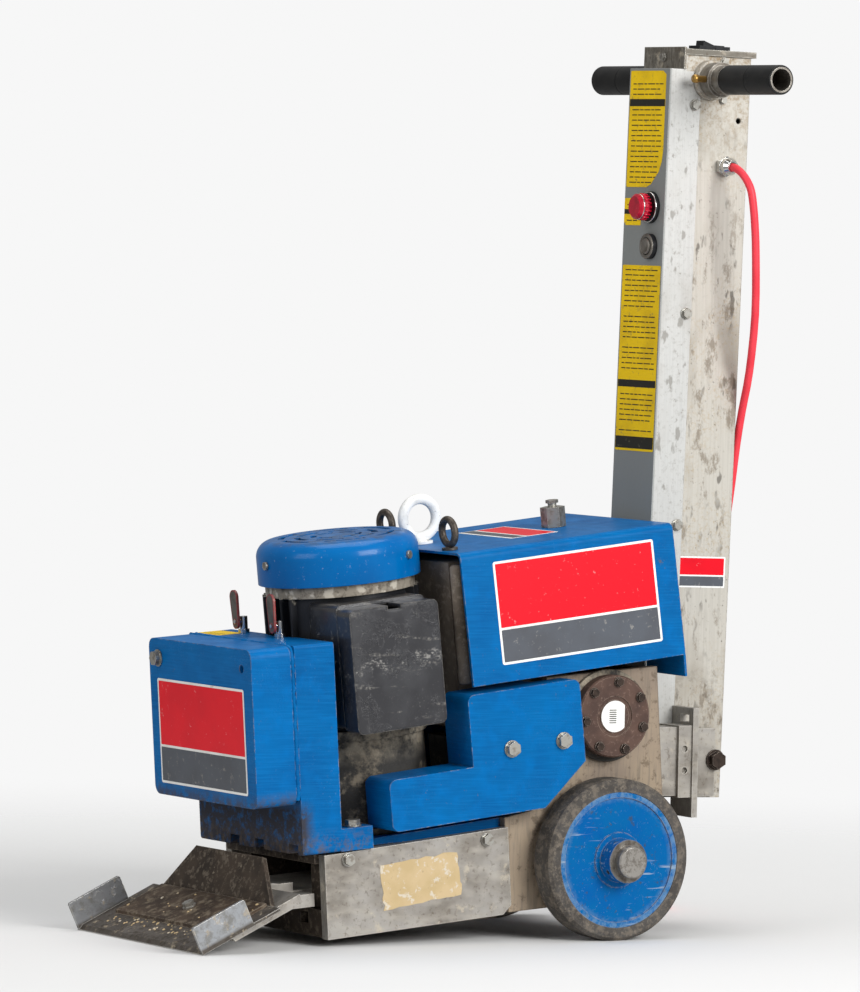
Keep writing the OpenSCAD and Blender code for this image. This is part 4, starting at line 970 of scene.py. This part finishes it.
@dataclass
class Sign:
    """A two-coloured sign of film with a pale border, and nothing written on it."""

    name: str
    place: Matrix
    width: float
    height: float
    split: float
    body: str = "chassis"
    border: float = 3.0

    def build(self) -> bpy.types.Object:
        """Makes the sign.

        Returns:
            Its object.
        """
        form = bmesh.new()
        inner = self.width - 2 * self.border
        lower = self.split - 1.5 * self.border
        upper = self.height - self.split - 1.5 * self.border
        slab(form, self.place, self.width, self.height, 0.25, 3.0)
        slab(form, self.place, inner, upper, 0.12, 0.8, 1, (0, self.height / 2 - self.border - upper / 2), 0.26)
        slab(form, self.place, inner, lower, 0.12, 0.8, 2, (0, -self.height / 2 + self.border + lower / 2), 0.26)
        return keep(self.name, form, (PAPER_WHITE, FILM_RED, FILM_GREY), self.body)


def small_sign(name: str, place: Matrix, size: tuple[float, float], corner: float,
               panels: tuple[tuple[float, float, float], ...], body: str) -> None:
    """Makes a small film sign with a red and a grey panel.

    Args:
        name: the piece's name.
        place: frame of the face it is stuck on.
        size: its width and height in millimetres.
        corner: radius of its corners.
        panels: width, height and place up the face of the red and of the grey panel.
        body: the body it rides on.
    """
    form = bmesh.new()
    slab(form, place, *size, 0.2, corner)
    for index, (width, height, middle) in enumerate(panels, 1):
        slab(form, place, width, height, 0.1, 0.6, index, (0, middle), 0.21)
    keep(name, form, (PAPER_WHITE, FILM_RED, FILM_GREY), body)


@dataclass
class NoticeStrip:
    """A yellow notice with rows of plain bars.

    A tear is a point of its line and the direction of what is torn off.
    """

    name: str
    place: Matrix
    width: float
    height: float
    bands: tuple[tuple[float, float], ...] = ()
    body: str = "column"
    pitch: float = 6.5
    seed: int = 1
    tears: tuple[tuple[float, float, float, float], ...] = ()

    def build(self) -> bpy.types.Object:
        """Makes the notice.

        Returns:
            Its object.
        """
        chance = random.Random(self.seed)
        form = bmesh.new()
        slab(form, self.place, self.width, self.height, 0.2, 2.0)
        taken = [(at - deep / 2 - 3, at + deep / 2 + 3) for at, deep in self.bands]
        for at, deep in self.bands:
            slab(form, self.place, self.width - 1, deep, 0.1, 0.5, 1, (0, at), 0.21)
        row = -self.height / 2 + 6
        while row < self.height / 2 - 5:
            if not any(low < row < high for low, high in taken) and chance.random() > 0.12:
                left = -self.width / 2 + 7
                while left < self.width / 2 - 12:
                    run = min(chance.uniform(6, 17), self.width / 2 - 6 - left)
                    slab(form, self.place, run, 1.3, 0.08, 0, 1, (left + run / 2, row), 0.21)
                    left += run + 2.2
            row += self.pitch
        for x, y, away_x, away_y in self.tears:
            everything = form.verts[:] + form.edges[:] + form.faces[:]
            bmesh.ops.bisect_plane(form, geom=everything, plane_co=self.place @ Vector((x, y, 0)),
                                   plane_no=self.place.to_3x3() @ Vector((away_x, away_y, 0)), clear_outer=True)
            bmesh.ops.holes_fill(form, edges=[rim for rim in form.edges if rim.is_boundary])
        return keep(self.name, form, (FILM_YELLOW, FILM_BLACK), self.body)


@dataclass
class FrontWeight:
    """What is on the weight and its bracket: the sign, a notice and the bead between the two."""

    front: float = -482.0
    seam: float = -424.5
    half: float = 130.0
    low: float = 106.0
    high: float = 299.0

    def bead(self) -> None:
        """A lumpy bead of sealant down the gap between weight and bracket."""
        chance = random.Random(4)
        half, low, high, y = self.half - 1.5, self.low + 6, self.high - 1.5, self.seam
        corners = [(half, y, low), (half, y, high - 12), (half - 3, y, high - 3), (half - 12, y, high),
                   (-half, y, high)]
        line = []
        for a, b in zip(corners, corners[1:]):
            a, b = Vector(a), Vector(b)
            steps = max(2, round((b - a).length / 4))
            line += [a.lerp(b, i / steps) for i in range(steps)]
        line = [CHASSIS @ (spot + Vector([chance.uniform(-0.7, 0.7) for _ in range(3)])) for spot in line]
        bead = tube_along("seam_bead", line, 3.0 * MM, BLUE, 2)
        for vert in bead.data.vertices:
            vert.co += Vector([chance.uniform(-0.5, 0.5) * MM for _ in range(3)])
        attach(bead, "chassis")

    def build(self) -> None:
        """Makes them all."""
        sign = face(CHASSIS, (-1, self.front - 0.1, 185.5), SIDE, UP)
        Sign("weight_sign", sign, 220, 129, 46).build()
        NoticeStrip("bracket_notice", face(CHASSIS, (-97, -400, self.high + 0.1), SIDE, BACK), 56, 34,
                    body="chassis", pitch=7).build()
        self.bead()


@dataclass
class HoodTrim:
    """Signs on the hood and the post inside its front, in the deck's millimetres."""

    side_middle: tuple[float, float, float] = (137.35, -10.5, 320.5)
    side_slope: tuple[float, float, float] = (-7.0, 0.0, 155.0)
    top_middle: tuple[float, float, float] = (-7.0, -18.0, 400.1)
    post_foot: tuple[float, float, float] = (104.0, -160.0, 0.0)
    post_radius: float = 8.0
    post_low: float = 236.0
    post_high: float = 383.0

    def build(self) -> None:
        """Makes them."""
        slope = tuple(Vector(self.side_slope).normalized())
        Sign("hood_sign", face(DECK, self.side_middle, BACK, slope), 231, 127, 44).build()
        small_sign("hood_top_sign", face(DECK, self.top_middle, SIDE, BACK), (131, 69), 2.0,
                   ((125, 40, 11.5), (125, 17, -21)), "chassis")
        form = bmesh.new()
        radius, low, high = self.post_radius, self.post_low, self.post_high
        outline = [(0, low), (radius - 2, low), (radius, low + 2), (radius, high - 3), (radius - 2, high), (0, high)]
        barrel(form, DECK @ Matrix.Translation(self.post_foot), outline, 24)
        keep("hood_post", form, (TANK,), smooth=True)


@dataclass
class SidePatch:
    """Remains of paper tape on the side plate, torn along its edges."""

    plate_face: float = 125.1
    corners: tuple[tuple[float, float], ...] = ((-313, 21), (-204, 28), (-201, -25), (-310, -34))
    steps: int = 10
    tear: float = 1.6

    def build(self) -> None:
        """Makes the patch."""
        chance = random.Random(11)
        form = bmesh.new()
        place = face(CHASSIS, (self.plate_face, 0, 0), BACK, UP)
        verts = []
        for (ax, ay), (bx, by) in zip(self.corners, self.corners[1:] + self.corners[:1]):
            for step in range(self.steps):
                t = step / self.steps
                verts.append(form.verts.new((ax + (bx - ax) * t + chance.uniform(-self.tear, self.tear),
                                             ay + (by - ay) * t + chance.uniform(-self.tear, self.tear), 0.0)))
        sheet = form.faces.new(verts)
        raised = bmesh.ops.extrude_face_region(form, geom=[sheet])["geom"]
        bmesh.ops.translate(form, verts=[v for v in raised if isinstance(v, bmesh.types.BMVert)], vec=(0, 0, 0.25))
        bmesh.ops.transform(form, matrix=place, verts=form.verts)
        keep("tape_patch", form, (TAPE,))


@dataclass
class DriveCap:
    """Paper disc on the drive motor's cap, trimmed off at the rear."""

    radius: float = 19.5
    middle: tuple[float, float, float] = (139.55, 7.0, 175.0)
    trim: float = 14.0

    def build(self) -> None:
        """Makes the disc and the bars printed on it."""
        form = bmesh.new()
        place = LEVEL @ Matrix.Translation(self.middle) @ Matrix.Rotation(math.pi / 2, 4, "Y")
        bmesh.ops.create_circle(form, cap_ends=True, segments=48, radius=self.radius)
        bmesh.ops.bisect_plane(form, geom=form.verts[:] + form.edges[:] + form.faces[:], plane_co=(0, self.trim, 0),
                               plane_no=(0, 1, 0), clear_outer=True)
        raised = bmesh.ops.extrude_face_region(form, geom=form.faces[:])["geom"]
        bmesh.ops.translate(form, verts=[v for v in raised if isinstance(v, bmesh.types.BMVert)], vec=(0, 0, 0.3))
        for row in range(-3, 4):
            slab(form, Matrix.Identity(4), 1.1, 10, 0.1, 0, 1, (row * 2.6, -3), 0.32)
        bmesh.ops.transform(form, matrix=place, verts=form.verts)
        keep("cap_disc", form, (PAPER_WHITE, FILM_BLACK))


@dataclass
class ColumnTrim:
    """Notices on the front of the column and the sign on its side."""

    front: float = 99.9
    sign_middle: tuple[float, float, float] = (45.4, 178.0, 351.5)

    def build(self) -> None:
        """Makes them."""
        NoticeStrip("notice_top", face(COLUMN, (-3, self.front, 904), SIDE, UP), 84, 146, ((33, 9),), seed=2,
                    tears=((42, -26, 1.0, -0.16), (38, -44, 1.0, -0.5), (26, -60, 1.0, -1.1), (8, -72, 0.35, -1.0),
                           (36, 72, 0.6, 1.0))).build()
        NoticeStrip("notice_small", face(COLUMN, (-27, self.front, 800), SIDE, UP), 40, 34, ((0, 6),), seed=3,
                    tears=((-19, -14, -0.8, -1.0),)).build()
        NoticeStrip("notice_long", face(COLUMN, (0, self.front, 616.5), SIDE, UP), 90, 233, ((-32, 9), (-106, 15)),
                    seed=5).build()
        small_sign("column_sign", face(COLUMN, self.sign_middle, BACK, UP), (72, 39), 1.5,
                   ((68, 21, 7), (68, 12, -11.5)), "column")


@dataclass
class Controls:
    """Ribs, screw and band of the stop head, and the rings of the stop and of the start button.

    Depths are counted along the column's Y, heights over the axle, and outlines are radius and height.
    """

    stop_x: float = 17.0
    stop_height: float = 806.0
    stop_face: float = 85.0
    stop_seat: float = 95.7
    start_x: float = 19.0
    start_height: float = 757.0
    start_seat: float = 93.7
    ribs: int = 20
    rib_circle: float = 16.0

    def stop_head(self) -> None:
        """Makes what rides on the stop head."""
        place = face(COLUMN, (self.stop_x, self.stop_face, self.stop_height), SIDE, UP)
        form = bmesh.new()
        for step in range(self.ribs):
            turn = Matrix.Rotation(step * math.tau / self.ribs, 4, "Z") @ Matrix.Translation((self.rib_circle, 0, 0))
            barrel(form, turn, [(0, -8), (1.1, -8), (1.1, 0.5), (0, 1)], 6)
        bmesh.ops.transform(form, matrix=place @ Matrix.Translation((0, 0, 3)), verts=form.verts)
        keep("stop_ribs", form, (STOP_RED,), "estop", True)
        form = bmesh.new()
        screw = [(0, -1), (4.6, -1), (4.6, 0.4), (3.8, 1), (1.6, 1), (1.6, 0.2), (0, 0.2)]
        band = [(15, 0), (16.4, 0), (16.4, 1.4), (15, 1.4)]
        barrel(form, place @ Matrix.Translation((0, 0, 8)), screw, 24)
        barrel(form, place @ Matrix.Translation((0, 0, 4.4)), band, 48)
        keep("stop_screw", form, (CHROME,), "estop", True)

    def rings(self) -> None:
        """Makes the rings on the column."""
        stop = face(COLUMN, (self.stop_x, self.stop_seat, self.stop_height), SIDE, UP)
        start = face(COLUMN, (self.start_x, self.start_seat, self.start_height), SIDE, UP)
        for name, place, outline, finish in (
                ("stop_ring", stop, [(17.8, 0), (19.4, 0), (19.4, 1.2), (18.4, 2)], CHROME),
                ("start_ring", start, [(10.6, 0), (15.6, 0), (15.6, 0.8), (11.4, 1.6)], STEEL)):
            form = bmesh.new()
            barrel(form, place, outline, 48)
            keep(name, form, (finish,), "column", True)

    def build(self) -> None:
        """Makes them all."""
        self.stop_head()
        self.rings()


@dataclass
class BarClamp:
    """Brass clamp screw of the handlebar, out of the front of its hub."""

    seat: tuple[float, float, float] = (69.0, 141.0, 968.0)

    def build(self) -> None:
        """Makes it."""
        form = bmesh.new()
        outline = [(3.5, 1), (4.2, 1), (4.2, 14), (5.4, 14), (5.4, 19), (4.6, 20.5), (0, 20.5), (0, 15), (3.5, 15)]
        barrel(form, face(COLUMN, self.seat, SIDE, UP), outline, 24)
        keep("clamp_screw", form, (BRASS,), "handlebar", True)


@dataclass
class BladeDebris:
    """Crumbs of old adhesive left on the blade unit."""

    count: int = 70
    blade_top: float = 4.2
    clamp_top: float = 8.2
    clamp_from: float = 44.0
    half: float = 132.0

    def build(self) -> None:
        """Scatters the crumbs, most of them in front of the clamp plate."""
        chance = random.Random(21)
        form = bmesh.new()
        for _ in range(self.count):
            s = chance.uniform(24, 43) if chance.random() < 0.7 else chance.uniform(46, 112)
            top = self.clamp_top if s > self.clamp_from else self.blade_top
            size = chance.uniform(0.8, 2.6)
            made = bmesh.ops.create_icosphere(form, subdivisions=1, radius=size)["verts"]
            for vert in made:
                vert.co *= chance.uniform(0.75, 1.15)
            spot = (chance.uniform(-self.half, self.half), s, top)
            bmesh.ops.transform(form, matrix=BLADE_FRAME @ Matrix.Translation(spot) @ Matrix.Diagonal((1, 1, 0.5, 1)),
                                verts=made)
        keep("blade_crumbs", form, (TAPE,), "blade")


def main() -> None:
    """Builds everything in order."""
    logging.basicConfig(level=logging.INFO)
    studio = Studio()
    studio.camera()
    PowerLead().build()
    studio.lights()
    studio.floor()
    dress_frame()
    FrontWeight().build()
    HoodTrim().build()
    SidePatch().build()
    DriveCap().build()
    ColumnTrim().build()
    Controls().build()
    BarClamp().build()
    BladeDebris().build()


if __name__ == "__main__":
    main()
